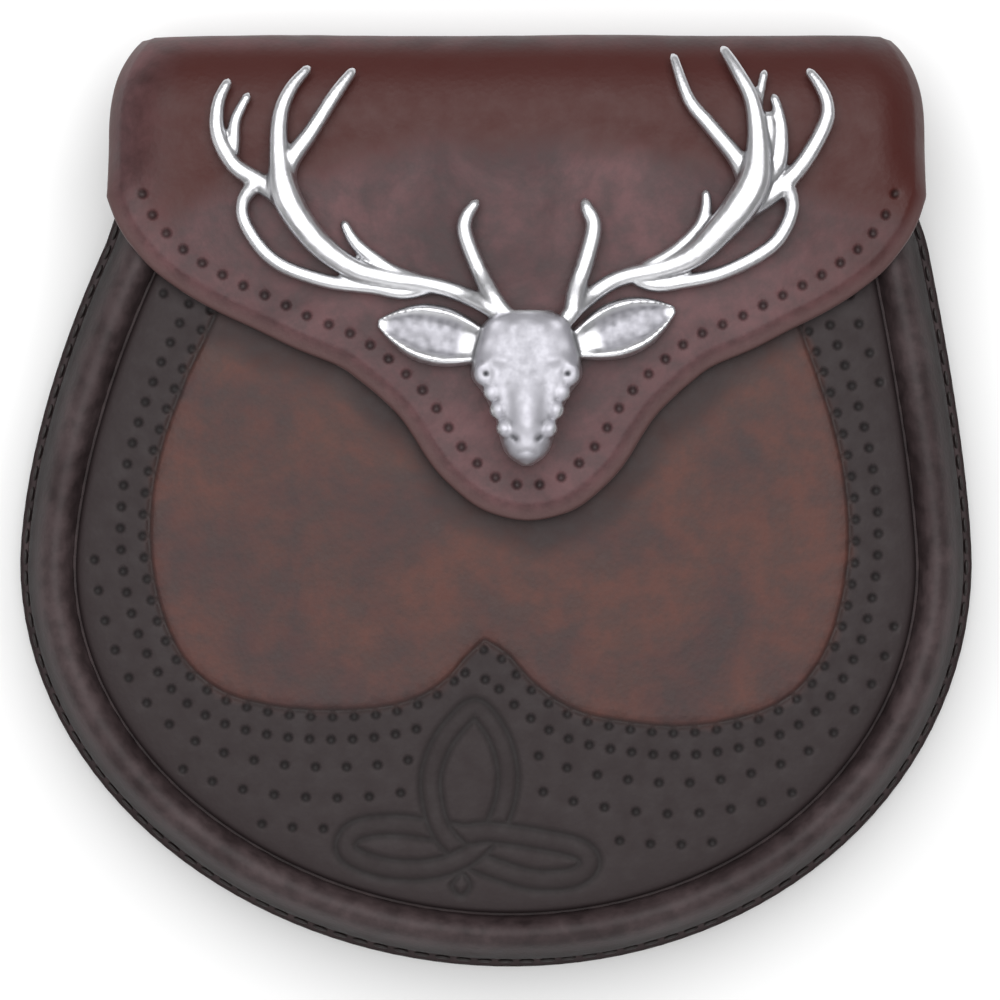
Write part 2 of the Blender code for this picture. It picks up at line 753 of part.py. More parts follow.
def main():
    clear_scene()
    pouch = new_collection("sporran_pouch")
    cutters = new_collection("cutters")
    castings = new_collection("castings")
    make_back_panel(pouch)
    make_gusset(pouch)
    make_front_panel(pouch)
    make_flap(pouch, cutters)
    make_badge(pouch, castings)
    make_flap_stud(pouch)
    make_belt_loop("belt_loop_left", -1, pouch)
    make_belt_loop("belt_loop_right", 1, pouch)


main()
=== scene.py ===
# %% [markdown]
# # A leather day sporran with a cast stag's head
# A sporran is the pouch worn in front of a kilt. This one is dark brown leather: a flat back,
# a gusset that bulges round the sides, a tooled front and a flap that rolls over the top.
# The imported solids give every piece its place, and this script dresses them with real
# leather edges, stitches, punched dots, tooling and cast pewter.

import math

import bmesh
import bpy
import numpy as np
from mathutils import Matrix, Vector, noise
from mathutils.geometry import delaunay_2d_cdt
from mathutils.kdtree import KDTree


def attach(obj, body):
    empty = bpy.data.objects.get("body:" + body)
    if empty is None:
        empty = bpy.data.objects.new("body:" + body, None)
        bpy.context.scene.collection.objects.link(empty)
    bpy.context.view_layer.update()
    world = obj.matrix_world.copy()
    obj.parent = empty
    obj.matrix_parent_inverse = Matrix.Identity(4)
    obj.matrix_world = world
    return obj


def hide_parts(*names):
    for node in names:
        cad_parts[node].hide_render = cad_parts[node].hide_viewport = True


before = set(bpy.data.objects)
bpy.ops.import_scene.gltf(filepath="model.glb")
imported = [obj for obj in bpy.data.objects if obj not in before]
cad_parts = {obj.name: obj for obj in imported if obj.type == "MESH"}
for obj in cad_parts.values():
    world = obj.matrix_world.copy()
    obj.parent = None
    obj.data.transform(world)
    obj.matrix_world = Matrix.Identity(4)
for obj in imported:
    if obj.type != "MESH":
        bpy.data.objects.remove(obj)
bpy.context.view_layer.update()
print("pieces in the frame:", ", ".join(sorted(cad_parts)))

# %% [markdown]
# ## Camera, floor and light
# The photo looks straight down on the pouch as it lies on its back, from about a metre, with a
# long lens. A big soft light overhead is what product photos use: flat leather mirrors it as a
# grey sheen, and polished metal turns white. The world is dimmer than that light, so whatever
# curves away from the camera darkens.

# %% Units, colours and nodes
MM = 0.001


def linear(code):
    """An sRGB hex colour as the linear colour that the shader wants."""
    parts = [int(code[place:place + 2], 16) / 255 for place in (1, 3, 5)]
    curve = [part / 12.92 if part <= 0.04045 else ((part + 0.055) / 1.055) ** 2.4 for part in parts]
    return (*curve, 1.0)


def add(tree, kind, values=None, links=None, **traits):
    """Adds a node, sets its traits and inputs, and links inputs to (node, output) pairs."""
    made = tree.nodes.new("ShaderNode" + kind)
    for trait, value in traits.items():
        setattr(made, trait, value)
    for key, value in (values or {}).items():
        made.inputs[key].default_value = value
    for key, (source, output) in (links or {}).items():
        tree.links.new(source.outputs[output], made.inputs[key])
    return made


def new_material(name):
    """An empty material and its node tree."""
    made = bpy.data.materials.new(name)
    made.use_nodes = True
    made.node_tree.nodes.clear()
    return made, made.node_tree


def put_in_scene(name, data):
    """An object that holds some data, linked into the scene."""
    made = bpy.data.objects.new(name, data)
    bpy.context.scene.collection.objects.link(made)
    return made


# %% Camera
CAMERA_PLACE = (0.8, 1.2, 1005.0)
LENS = 180.0
SENSOR = 36.0

camera_data = bpy.data.cameras.new("camera")
camera_data.lens = LENS
camera_data.sensor_width = SENSOR
camera = put_in_scene("camera", camera_data)
camera.location = Vector(CAMERA_PLACE) * MM
bpy.context.scene.camera = camera
bpy.context.scene.view_settings.view_transform = "Standard"


def seen_at(pixel_x, pixel_y, z):
    """The point at height z, in mm, that the camera shows at a pixel of the 1000 x 1000 frame."""
    scale = SENSOR / LENS / 1000 * (CAMERA_PLACE[2] - z)
    return (CAMERA_PLACE[0] + (pixel_x - 500) * scale, CAMERA_PLACE[1] - (pixel_y - 500) * scale)


print("the frame shows", round(SENSOR / LENS * CAMERA_PLACE[2]), "mm at the floor")

# %% Floor and lights
FLOOR_SIZE = 6.0
FLOOR_DROP = 0.02 * MM
SOFTBOXES = {
    # place, aim, size (m), watts
    "overhead_softbox": ((0.0, 0.32, 1.25), (0.0, 0.0, 0.0), 1.5, 21.5),
    "front_card": ((0.0, -1.6, 0.95), (0.0, 0.0, 0.0), 1.2, 6.0),
    "left_card": ((-1.8, -0.3, 0.8), (0.0, 0.0, 0.0), 0.8, 2.0),
}
WORLD_GREY = 0.28


def make_floor():
    half = FLOOR_SIZE / 2
    mesh = bpy.data.meshes.new("floor")
    corners = ((-half, -half), (half, -half), (half, half), (-half, half))
    mesh.from_pydata([(x, y, -FLOOR_DROP) for x, y in corners], [], [(0, 1, 2, 3)])
    paper, tree = new_material("matt_white_paper")
    shader = add(tree, "BsdfPrincipled", {"Base Color": linear("#F6F6F6"), "Roughness": 0.9})
    add(tree, "OutputMaterial", links={"Surface": (shader, "BSDF")})
    mesh.materials.append(paper)
    put_in_scene("floor", mesh)


def make_lights():
    for name, (place, aim, size, watts) in SOFTBOXES.items():
        lamp = bpy.data.lights.new(name, "AREA")
        lamp.shape = "SQUARE"
        lamp.size = size
        lamp.energy = watts
        made = put_in_scene(name, lamp)
        made.location = place
        made.rotation_mode = "QUATERNION"
        made.rotation_quaternion = (Vector(aim) - Vector(place)).to_track_quat("-Z", "Y")
    world = bpy.data.worlds.new("studio")
    bpy.context.scene.world = world
    world.use_nodes = True
    background = world.node_tree.nodes["Background"]
    background.inputs["Color"].default_value = (WORLD_GREY, WORLD_GREY, WORLD_GREY, 1.0)


make_floor()
make_lights()
print("lights:", ", ".join(SOFTBOXES))

# %% [markdown]
# ## Leather
# The real leather is vegetable tanned: dyed through, polished with wax and darker where it was
# dyed twice. Pores and creases make a fine grain, and cut edges are rubbed round and dark. Each
# mesh carries three numbers at every point: the dye number (the front's darker border, and
# painted shade: a shadow beside the flap's edge, a darker red on the flap's roll and a near-black
# outer wall on the gusset), pit (the floor of a punched or tooled mark) and edge (the rubbed
# edge, and on the flap a lighter band that is a painted highlight along its bevel). One recipe
# reads them, and each leather is that recipe with its own tones.

# %% Leather recipe
GRAIN_SIZE, GRAIN_DEPTH = 1.1, 0.07
LEATHER_NOISES = (
    # size, detail, roughness, distortion: blotches where the hide took more dye, streaks, pores
    (24.0, 6.0, 0.6, 0.6), (4.5, 4.0, 0.6, 0.0), (0.45, 2.0, 0.5, 0.0),
)


def tanned_leather(name, face, deep, dye_and_shade_tone, edge, gloss=0.4, matt=0.15):
    """Waxed leather with blotches, grain, a duller third tone for its border colour and for painted
    shade, dark pits and an edge tone.
    """
    made, tree = new_material(name)
    where = (add(tree, "TexCoord"), "Object")
    blotch, streak, pores = (
        add(tree, "TexNoise", {"Scale": 1 / (size * MM), "Detail": detail, "Roughness": rough,
                               "Distortion": bent}, {"Vector": where})
        for size, detail, rough, bent in LEATHER_NOISES
    )
    cells = add(tree, "TexVoronoi", {"Scale": 1 / (GRAIN_SIZE * MM)}, {"Vector": where})
    dye_and_shade, pit, edge_band = (add(tree, "Attribute", attribute_name=label) for label in ("dye_and_shade", "pit", "edge"))
    share = add(tree, "MapRange", {"From Min": 0.40, "From Max": 0.62}, {"Value": (blotch, 0)})
    fine = add(tree, "MapRange", {"From Min": 0.38, "From Max": 0.62, "To Min": 0.76, "To Max": 1.24},
               {"Value": (streak, 0)})
    sunk = add(tree, "MapRange", {"To Min": 1.0, "To Max": 0.35}, {"Value": (pit, "Fac")})
    colour = add(tree, "Mix", {6: linear(face), 7: linear(deep)}, {0: (share, 0)}, data_type="RGBA")
    for blend, values, links in (
        ("MULTIPLY", {0: 1.0}, {7: (fine, 0)}),
        # The third tone: the darker dyed border, and painted shade wherever the mesh's dye number asks
        # for it.
        ("MIX", {7: linear(dye_and_shade_tone)}, {0: (dye_and_shade, "Fac")}),
        # The edge tone: dark rubbed edges, and on the flap a lighter band that is a painted highlight
        # along its bevel.
        ("MIX", {7: linear(edge)}, {0: (edge_band, "Fac")}),
        ("MULTIPLY", {0: 1.0}, {7: (sunk, 0)}),
    ):
        colour = add(tree, "Mix", values, {**links, 6: (colour, 2)}, data_type="RGBA", blend_type=blend)
    wear = add(tree, "MapRange", {"From Min": 0.3, "From Max": 0.7, "To Min": 0.45, "To Max": 0.58},
               {"Value": (streak, 0)})
    dulled = add(tree, "Math", {1: matt}, {0: (dye_and_shade, "Fac"), 2: (wear, 0)}, operation="MULTIPLY_ADD")
    height = add(tree, "Math", {1: 0.55}, {0: (pores, 0), 2: (cells, "Distance")},
                 operation="MULTIPLY_ADD")
    bump = add(tree, "Bump", {"Strength": 0.5, "Distance": GRAIN_DEPTH * MM}, {"Height": (height, 0)})
    shader = add(tree, "BsdfPrincipled", {"IOR": 1.45, "Specular IOR Level": gloss},
                 {"Base Color": (colour, 2), "Roughness": (dulled, 0), "Normal": (bump, "Normal")})
    add(tree, "OutputMaterial", links={"Surface": (shader, "BSDF")})
    return made


# The flap's third tone is the deep red of the painted shade on its roll.
flap_leather = tanned_leather(
    "oxblood_flap_leather", "#56393B", "#3C2527", "#40140F", "#543D3C", matt=0.0)
# The front's third tone paints its darker border and the painted shadow beside the flap's edge.
front_leather = tanned_leather("brown_front_leather", "#4A2922", "#392221", "#2A2122", "#201617")
# The gusset's third tone is painted shade, near black, on its outer wall.
gusset_leather = tanned_leather(
    "dark_gusset_leather", "#423738", "#352B2C", "#1C1414", "#2A2021", gloss=0.22, matt=0.3)
back_leather = tanned_leather("dark_back_leather", "#34211D", "#281A17", "#1E1513", "#1A1210")
for leather in (flap_leather, front_leather, gusset_leather, back_leather):
    print("leather:", leather.name)

# %% [markdown]
# ## Leather sheets
# Every flat piece is cut from a hide, so each is made the same way: an outline is filled with
# triangles, close together along edges, dots and tooled lines and wide apart elsewhere, and a
# second skin a leather's thickness below it is joined on by a rounded edge. Triangles of
# different sizes put detail only where it shows.

# %% Lines and distances
def smooth_line(marks, steps=12, closed=False):
    """A smooth line through marks (Catmull-Rom)."""
    marks = np.asarray(marks, float)
    if closed:
        held = np.vstack([marks[-1:], marks, marks[:2]])
    else:
        held = np.vstack([2 * marks[0] - marks[1], marks, 2 * marks[-1] - marks[-2]])
    share = np.linspace(0, 1, steps, endpoint=False)[:, None]
    runs = []
    for before, start, end, after in zip(held, held[1:], held[2:], held[3:]):
        bend = 2 * before - 5 * start + 4 * end - after
        twist = 3 * start - before - 3 * end + after
        runs.append(start + 0.5 * ((end - before) * share + bend * share ** 2 + twist * share ** 3))
    if not closed:
        runs.append(marks[-1:])
    return np.vstack(runs)


def travelled(line):
    """How far along a line each of its points lies."""
    return np.concatenate([[0.0], np.cumsum(np.linalg.norm(np.diff(line, axis=0), axis=1))])


def at_stops(line, along, stops):
    """Points of a line at stops on a scale that along gives for its own points."""
    return np.column_stack([np.interp(stops, along, column) for column in line.T])


def walk(line, pitch, closed=False):
    """Evenly spaced points along a line, about a pitch apart."""
    line = np.asarray(line, float)
    if closed:
        line = np.vstack([line, line[:1]])
    along = travelled(line)
    stops = np.linspace(0.0, along[-1], max(2, round(along[-1] / pitch)) + 1)
    return at_stops(line, along, stops[:-1] if closed else stops)


def sideways(line, closed=False):
    """Unit vectors to the left of a line's direction."""
    if closed:
        along = np.roll(line, -1, axis=0) - np.roll(line, 1, axis=0)
    else:
        along = np.gradient(line, axis=0)
    left = np.column_stack([-along[:, 1], along[:, 0]])
    return left / np.linalg.norm(left, axis=1)[:, None]


def distance_to(marks, points):
    """Distance from each point to the nearest mark."""
    tree = KDTree(len(marks))
    for place, (x, y) in enumerate(marks):
        tree.insert((x, y, 0.0), place)
    tree.balance()
    return np.array([tree.find((x, y, 0.0))[2] for x, y in points])


def inside(loop, points):
    """True for points within a closed loop: a ray to the right crosses it an odd number of times."""
    hit = np.zeros(len(points), bool)
    x, y = points[:, 0], points[:, 1]
    for (from_x, from_y), (to_x, to_y) in zip(loop, np.roll(loop, -1, axis=0)):
        if from_y != to_y:
            cut = (to_x - from_x) * (y - from_y) / (to_y - from_y) + from_x
            hit ^= ((from_y > y) != (to_y > y)) & (x < cut)
    return hit


def turns(sides):
    """Angles of evenly spaced points round a circle."""
    return np.arange(sides) * 2 * math.pi / sides


def ease(value):
    """Smooth step from 0 to 1."""
    held = np.clip(value, 0.0, 1.0)
    return held * held * (3.0 - 2.0 * held)


def unevenness(points, size, seed):
    """Soft noise from -1 to 1 with bumps of about a size."""
    return np.array([noise.noise((x / size, y / size, seed)) for x, y in points])


WAVES = {
    # height, size and seed of each leather's slow waves and small lumps
    "back": ((0.18, 30.0, 3.1), (0.05, 6.0, 5.2)),
    "front": ((0.22, 26.0, 1.7), (0.05, 5.0, 8.1)),
    "gusset": ((0.25, 22.0, 4.4), (0.06, 5.0, 6.6)),
    "flap": ((0.3, 30.0, 9.3), (0.06, 6.0, 7.7)),
}


def waves(points, piece):
    """How far worked leather waves and lumps up or down."""
    return sum(height * unevenness(points, size, seed) for height, size, seed in WAVES[piece])


# %% Sheet builder
RIM_PITCH = 0.8
RIM_RINGS = (0.1, 0.25, 0.45, 0.7, 1.1, 1.7)
UNDER_RING, UNDER_PITCH, UNDER_CLEAR = 0.45, 4.0, 2.5
TIGHT = 0.98


def honeycomb(rim, close, pitch, clear):
    """Points of a triangular grid inside a rim and clear of its edge."""
    low, high = rim.min(axis=0), rim.max(axis=0)
    rows = []
    for row, y in enumerate(np.arange(low[1], high[1], pitch * 0.866)):
        x = np.arange(low[0] + (row % 2) * pitch / 2, high[0], pitch)
        rows.append(np.column_stack([x, np.full(len(x), y)]))
    grid = np.vstack(rows)
    grid = grid[inside(rim, grid)]
    return grid[distance_to(close, grid) > clear]


def inner_ring(rim, close, inset):
    """The rim moved inward, without the points that a tight bend brings too near its edge."""
    ring = rim + sideways(rim, closed=True) * inset
    return ring[distance_to(close, ring) > inset * TIGHT - 0.01]


def fill(rim, points):
    """Triangles inside a rim loop through points: their places, corners and the rim's own ids."""
    everything = np.vstack([rim, points])
    loop = [list(range(len(rim)))]
    found = delaunay_2d_cdt([Vector(place) for place in everything], [], loop, 1, 1e-4, True)
    places = np.array([tuple(place) for place in found[0]])
    faces = np.array([tuple(face) for face in found[2]])
    faces = faces[inside(rim, places[faces].mean(axis=1))]
    ids = {old: new for new, olds in enumerate(found[3]) for old in olds}
    return places, [tuple(face) for face in faces.tolist()], [ids[old] for old in range(len(rim))]


def put_piece(name, points, faces, material, replaces=(), slot=None, paint=None):
    """A mesh from points in mm, with its numbers, material and place in the frame."""
    mesh = bpy.data.meshes.new(name)
    mesh.from_pydata((np.asarray(points) * MM).tolist(), [], faces)
    mesh.validate()
    mesh.shade_smooth()
    for label, values in (paint or {}).items():
        layer = mesh.attributes.new(label, "FLOAT", "POINT")
        layer.data.foreach_set("value", np.asarray(values, np.float32))
    mesh.materials.append(material)
    made = put_in_scene(name, mesh)
    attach(made, "root")
    if replaces:
        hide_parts(*replaces)
    print(name, "has", sum(len(face) - 2 for face in faces), "triangles")


def rings_to_faces(count, width, start):
    """Quads round a closed tube of rings, with a cap at each end."""
    faces = []
    for row in range(count - 1):
        for step in range(width):
            near, far = start + row * width, (step + 1) % width
            faces.append((near + step, near + far, near + width + far, near + width + step))
    faces.append(tuple(start + place for place in reversed(range(width))))
    last = start + (count - 1) * width
    faces.append(tuple(last + place for place in range(width)))
    return faces


def rounded(points, rim_ids, close, edge_round):
    """How deep inside the edge each point lies, and how far the rounded edge drops it."""
    deep = distance_to(close, points)
    deep[rim_ids] = 0.0
    bend = np.clip(edge_round - deep, 0.0, edge_round)
    return deep, edge_round - np.sqrt(edge_round ** 2 - bend ** 2)


def leather_sheet(name, rim, place, leather, material, marks=(), relief=None, dye_and_shade=None,
                  pitch=1.6, edge_round=0.7, edge_band=1.0, **facts):
    """A sheet of leather: place(points, lift) puts flat points at a height off its middle."""
    rim = walk(rim, RIM_PITCH, closed=True)
    close = walk(rim, RIM_PITCH / 6, closed=True)
    rings = [inner_ring(rim, close, inset) for inset in RIM_RINGS]
    field = honeycomb(rim, close, pitch, RIM_RINGS[-1] + pitch * 0.4)
    if len(marks):
        field = field[distance_to(marks, field) > pitch * 0.45]
        rings.append(np.asarray(marks))
    top, faces, top_rim = fill(rim, np.vstack([*rings, field]))
    deep, drop = rounded(top, top_rim, close, edge_round)
    raised, pit = relief(top, deep) if relief else (0.0, np.zeros(len(top)))
    under = honeycomb(rim, close, UNDER_PITCH, UNDER_CLEAR)
    low, low_faces, low_rim = fill(rim, np.vstack([inner_ring(rim, close, UNDER_RING), under]))
    low_deep, rise = rounded(low, low_rim, close, edge_round)
    points = np.vstack([place(top, leather / 2 - drop + raised), place(low, rise - leather / 2)])
    start = len(top)
    faces += [tuple(start + corner for corner in reversed(face)) for face in low_faces]
    next_top, next_low = top_rim[1:] + top_rim[:1], low_rim[1:] + low_rim[:1]
    for here, there, down, below in zip(top_rim, next_top, low_rim, next_low):
        faces.append((here, start + down, start + below, there))
    rest = np.zeros(len(low))
    paint = {
        "edge": np.concatenate([ease(1.0 - deep / edge_band), ease(1.0 - low_deep / edge_band)]),
        "pit": np.concatenate([pit, rest]),
        "dye_and_shade": np.concatenate([dye_and_shade(top) if dye_and_shade else np.zeros(start), rest]),
    }
    put_piece(name, points, faces, material, paint=paint, **facts)


def off_surface(middle):
    """A place function: points at a lift off a surface that middle(points) gives."""
    step = 0.05

    def place(points, lift):
        right = middle(points + (step, 0.0)) - middle(points - (step, 0.0))
        ahead = middle(points + (0.0, step)) - middle(points - (0.0, step))
        normal = np.cross(right, ahead)
        normal /= np.linalg.norm(normal, axis=1)[:, None]
        return middle(points) + normal * lift[:, None]
    return place


# %% [markdown]
# ## Dots and tooled lines
# A hand-driven punch leaves a round dent about 2 mm wide, and a modelling tool presses a soft
# line. Both are real dents in these meshes: rings of points round every dot and rows of points
# across every line give them walls, and the pit number darkens their floors as dye and wax do.

# %% Marks in leather
DOT_RADIUS = 1.0
DOT_DEPTH = 0.65
DOT_RINGS = (0.0, 0.35, 0.65, 0.9, 1.12, 1.4)
DOT_SIDES = 10
LINE_DEPTH = 0.42
LINE_ROWS = (-1.8, -1.0, -0.5, 0.0, 0.5, 1.0, 1.8)


def dot_marks(centres):
    """Rings of points round each dot."""
    rings = [np.zeros((1, 2))]
    for place, ring in enumerate(DOT_RINGS[1:]):
        turned = turns(DOT_SIDES) + place * math.pi / DOT_SIDES
        rings.append(np.column_stack([np.cos(turned), np.sin(turned)]) * ring * DOT_RADIUS)
    print_of_one = np.vstack(rings)
    return (np.asarray(centres)[:, None, :] + print_of_one[None]).reshape(-1, 2)


def line_marks(lines, width, pitch=0.6):
    """Rows of points along and across each tooled line."""
    rows = []
    for line in lines:
        line = walk(line, pitch)
        left = sideways(line)
        rows += [line + left * across * width / 2 for across in LINE_ROWS]
    return np.vstack(rows)


def punched(points, centres):
    """How far round dents push the leather down, and how deep in one each point is."""
    away = distance_to(centres, points) / DOT_RADIUS
    dent = np.clip(1.0 - (away / 1.15) ** 2, 0.0, 1.0) ** 1.3
    return -DOT_DEPTH * dent, ease(dent * 1.4)


def tooled(points, lines, width):
    """The same for lines pressed with a tool of a width."""
    away = distance_to(np.vstack([walk(line, 0.12) for line in lines]), points)
    dent = np.exp(-(away / (width / 2)) ** 2)
    return -LINE_DEPTH * dent, 0.85 * dent


# %% [markdown]
# ## The pouch outline
# One formula gives the outline of the back, the gusset and the front: an ellipse for the bowl
# and a curved taper up to the mouth, leaning a little to the right as the real one does. The
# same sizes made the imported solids.

# %% Outline
BODY_WIDTH, BOWL_DEPTH, SHOULDER_RISE, SHOULDER_TAPER, TAPER_POWER = 190.0, 80.8, 96.0, 25.65, 1.6
TOP_LEAN, TOP_LEAN_REACH, BOTTOM_LEAN = 4.1, 64.0, 2.9
ROLL_OVERHANG, MOUTH_DROP = 8.0, 12.4
BACK_LEATHER, GUSSET_LEATHER, FRONT_LEATHER, FLAP_LEATHER, LOOP_LEATHER = 2.2, 1.6, 2.2, 2.4, 1.8
SEAT_GAP = 0.3
BOTTOM_Y = -(BOWL_DEPTH + SHOULDER_RISE + ROLL_OVERHANG) / 2
WIDEST_Y = BOTTOM_Y + BOWL_DEPTH
BACK_TOP_Y = WIDEST_Y + SHOULDER_RISE
ROLL_TOP_Y = -BOTTOM_Y
MOUTH_Y = BACK_TOP_Y - MOUTH_DROP
BACK_TOP_Z = 11.0
BACK_SLOPE = BACK_TOP_Z / (BACK_TOP_Y - BOTTOM_Y)
OUTLINE_SPARE = 12.0


def outline(top_y, inset=0.0):
    """The pouch's edge from the right end of the mouth, down, round the bowl and up the left."""
    shoulder = np.linspace(top_y + OUTLINE_SPARE, WIDEST_Y, 100)[:-1]
    rise = (shoulder - WIDEST_Y) / SHOULDER_RISE
    half = BODY_WIDTH / 2 - SHOULDER_TAPER * rise ** TAPER_POWER
    shift = TOP_LEAN * np.minimum(1.0, (shoulder - WIDEST_Y) / TOP_LEAN_REACH) ** 2
    turn = np.linspace(0.0, math.pi, 400)
    bowl_shift = BOTTOM_LEAN * np.sin(turn) ** 2
    bowl = np.column_stack([
        bowl_shift + BODY_WIDTH / 2 * np.cos(turn), WIDEST_Y - BOWL_DEPTH * np.sin(turn)
    ])
    right = np.column_stack([shift + half, shoulder])
    left = np.column_stack([shift - half, shoulder])[::-1]
    line = np.vstack([right, bowl, left])
    line = line - sideways(line) * inset
    keep = np.flatnonzero(line[:, 1] < top_y)
    first, last = keep[0], keep[-1]
    ends = []
    for inner, outer in ((first, first - 1), (last, last + 1)):
        share = (top_y - line[inner, 1]) / (line[outer, 1] - line[inner, 1])
        ends.append(line[inner] + (line[outer] - line[inner]) * share)
    return np.vstack([ends[0], line[first:last + 1], ends[1]])


def back_face(y):
    """Height of the back panel's outer face above the surface that it lies on."""
    return (y - BOTTOM_Y) * BACK_SLOPE


print("pouch outline runs", round(travelled(outline(MOUTH_Y))[-1]), "mm")

# %% [markdown]
# ## Back panel
# The back is one flat sheet, and only its outer side is seen when the sporran is turned over.
# It is drawn facing down, so its worked skin is the one that the wearer sees. Its seam lies in
# a groove, as a saddler cuts it, which keeps the stitches clear of whatever it lies on.

# %% Back panel
SEAM_INSET, SEAM_GROOVE, SEAM_GROOVE_WIDTH = 1.3, 0.4, 0.5
BACK_SINK = 0.2


def back_middle(points):
    y = points[:, 1]
    z = back_face(y) + BACK_LEATHER / 2 / math.cos(math.atan(BACK_SLOPE))
    return np.column_stack([-points[:, 0], y, z])


def back_relief(points, deep):
    groove = np.exp(-((deep - SEAM_INSET) / SEAM_GROOVE_WIDTH) ** 2)
    return waves(points, "back") - BACK_SINK - SEAM_GROOVE * groove, 0.5 * groove


leather_sheet(
    "back_leather_sheet", outline(BACK_TOP_Y) * (-1.0, 1.0), off_surface(back_middle),
    BACK_LEATHER, back_leather, relief=back_relief, pitch=1.8,
    replaces=("back_panel",), slot="back_leather",
)

# %% [markdown]
# ## Front panel
# The front is a domed piece of brown leather. A darker dyed border follows a tooled line, rows
# of punched dots fill the border, and an interlaced knot stands under the line's cusp. The dye
# line and the knot are drawn once as points listed from the photo and smoothed; the rows
# of dots are that line moved outward.

# %% Front panel shape
RIM_WIDTH, GROOVE_WIDTH, FRONT_RISE = 12.2, 1.6, 2.8
POUCH_DEPTH = 32.0
CREST_Z = POUCH_DEPTH - GUSSET_LEATHER / 2
GROOVE_DIP = 4.3
GROOVE_Z = CREST_Z - GROOVE_DIP
FRONT_EDGE_Z = GROOVE_Z + GUSSET_LEATHER / 2 + SEAT_GAP + FRONT_LEATHER / 2
FRONT_TOP_Z = FRONT_EDGE_Z + FRONT_RISE + FRONT_LEATHER / 2

DOME = (
    # share of FRONT_RISE, and how far from the edge it is reached
    (0.38, 1.6), (0.62, 20.0),
)

front_line = outline(MOUTH_Y, RIM_WIDTH + GROOVE_WIDTH / 2)[::-1]
front_close = walk(front_line, 0.15, closed=True)


def front_place(points, lift):
    """The dome: steep at its edge, then a long soft rise to its middle."""
    deep = distance_to(front_close, points)
    rise = sum(share * (1 - np.exp(-deep / reach)) for share, reach in DOME)
    return np.column_stack([points, FRONT_EDGE_Z + FRONT_RISE * rise + lift])


def pixels(marks, z):
    """Points listed in the photo's pixels, as places at height z."""
    return np.array([seen_at(x, y, z) for x, y in marks])


FRONT_SEEN_Z = 33.0
DYE_LINE_LEFT = (
    (236, 250), (221, 300), (205, 336), (186, 376), (165, 432), (152, 486), (149, 545), (160, 610),
    (184, 660), (222, 692), (275, 707), (330, 711), (380, 708), (418, 698), (446, 680), (467, 657),
    (485, 640),
)
DYE_LINE_RIGHT = (
    (485, 640), (507, 655), (533, 683), (565, 706), (605, 719), (680, 727), (752, 715), (800, 688),
    (832, 638), (848, 570), (849, 505), (838, 438), (820, 380), (802, 330), (788, 285), (778, 250),
)
dye_line = np.vstack([
    smooth_line(pixels(DYE_LINE_LEFT, FRONT_SEEN_Z))[:-1],
    smooth_line(pixels(DYE_LINE_RIGHT, FRONT_SEEN_Z)),
])

# %% Knot
KNOT = (
    (443, 834), (433, 806), (431, 775), (441, 745), (458, 722), (475, 709), (491, 724), (503, 748),
    (508, 778), (503, 808), (491, 833), (467, 857), (430, 870), (385, 869), (350, 856), (347, 840),
    (362, 829), (398, 826), (443, 832), (467, 835), (491, 833), (545, 841), (580, 850), (590, 864),
    (575, 878), (538, 881), (502, 872), (467, 857),
)
TEARDROP = ((462, 874), (470, 886), (461, 896), (452, 886))
DYE_LINE_WIDTH, KNOT_LINE_WIDTH = 1.1, 1.5
STRAND_HALF = 1.9
STRAND_DYE = 0.2
KNOT_STEP = 0.25
CROSSING_APART, CROSSING_SIZE, CROSSING_REACH = 6.0, 3.0, 7.0


def knot_lines():
    """The two tooled edges of one strand that passes over and under itself in turn."""
    path = walk(smooth_line(pixels(KNOT, FRONT_SEEN_Z), closed=True), KNOT_STEP, closed=True)
    count = len(path)
    apart = np.linalg.norm(path[:, None] - path[None], axis=2)
    steps = np.abs(np.arange(count)[:, None] - np.arange(count)[None])
    far = np.minimum(steps, count - steps) > CROSSING_APART / KNOT_STEP
    crossings = []
    for here, there in np.argwhere(far & (apart < KNOT_STEP * 0.8)):
        if here < there and all(
            abs(here - old[0]) + abs(there - old[1]) > CROSSING_SIZE / KNOT_STEP for old in crossings
        ):
            crossings.append((here, there))
    passes = sorted(crossings + [(there, here) for here, there in crossings])
    reach = round(CROSSING_REACH / KNOT_STEP)
    lines = []
    for way in (1, -1):
        side = path + sideways(path, closed=True) * (STRAND_HALF * way)
        keep = np.ones(count, bool)
        for here, there in passes[1::2]:
            over = path[np.arange(there - reach, there + reach) % count]
            near = np.arange(here - reach, here + reach) % count
            keep[near] &= distance_to(over, side[near]) > STRAND_HALF
        order = (np.arange(count) + np.argmin(keep)) % count
        for run in np.split(order, np.flatnonzero(np.diff(keep[order])) + 1):
            if keep[run[0]] and len(run) > 3:
                lines.append(side[run])
    print("knot crosses itself", len(crossings), "times, in", len(lines), "tooled runs")
    return path, lines


knot_path, knot_edges = knot_lines()

# %% Dots on the front
DOT_ROWS = (
    # distance outside the dye line, pitch
    (1.2, 4.2), (5.6, 4.2), (11.0, 6.0), (17.0, 6.2), (23.0, 6.0),
)
BEAD, BEAD_CLEAR = (465, 673), 2.4
RIM_CLEAR, KNOT_CLEAR = 3.0, 3.6
KNOT_BOX = ((440, 832), (498, 722))

dye_close = walk(dye_line, 0.2)
dye_loop = np.vstack([dye_line, [(200.0, 200.0), (-200.0, 200.0)]])


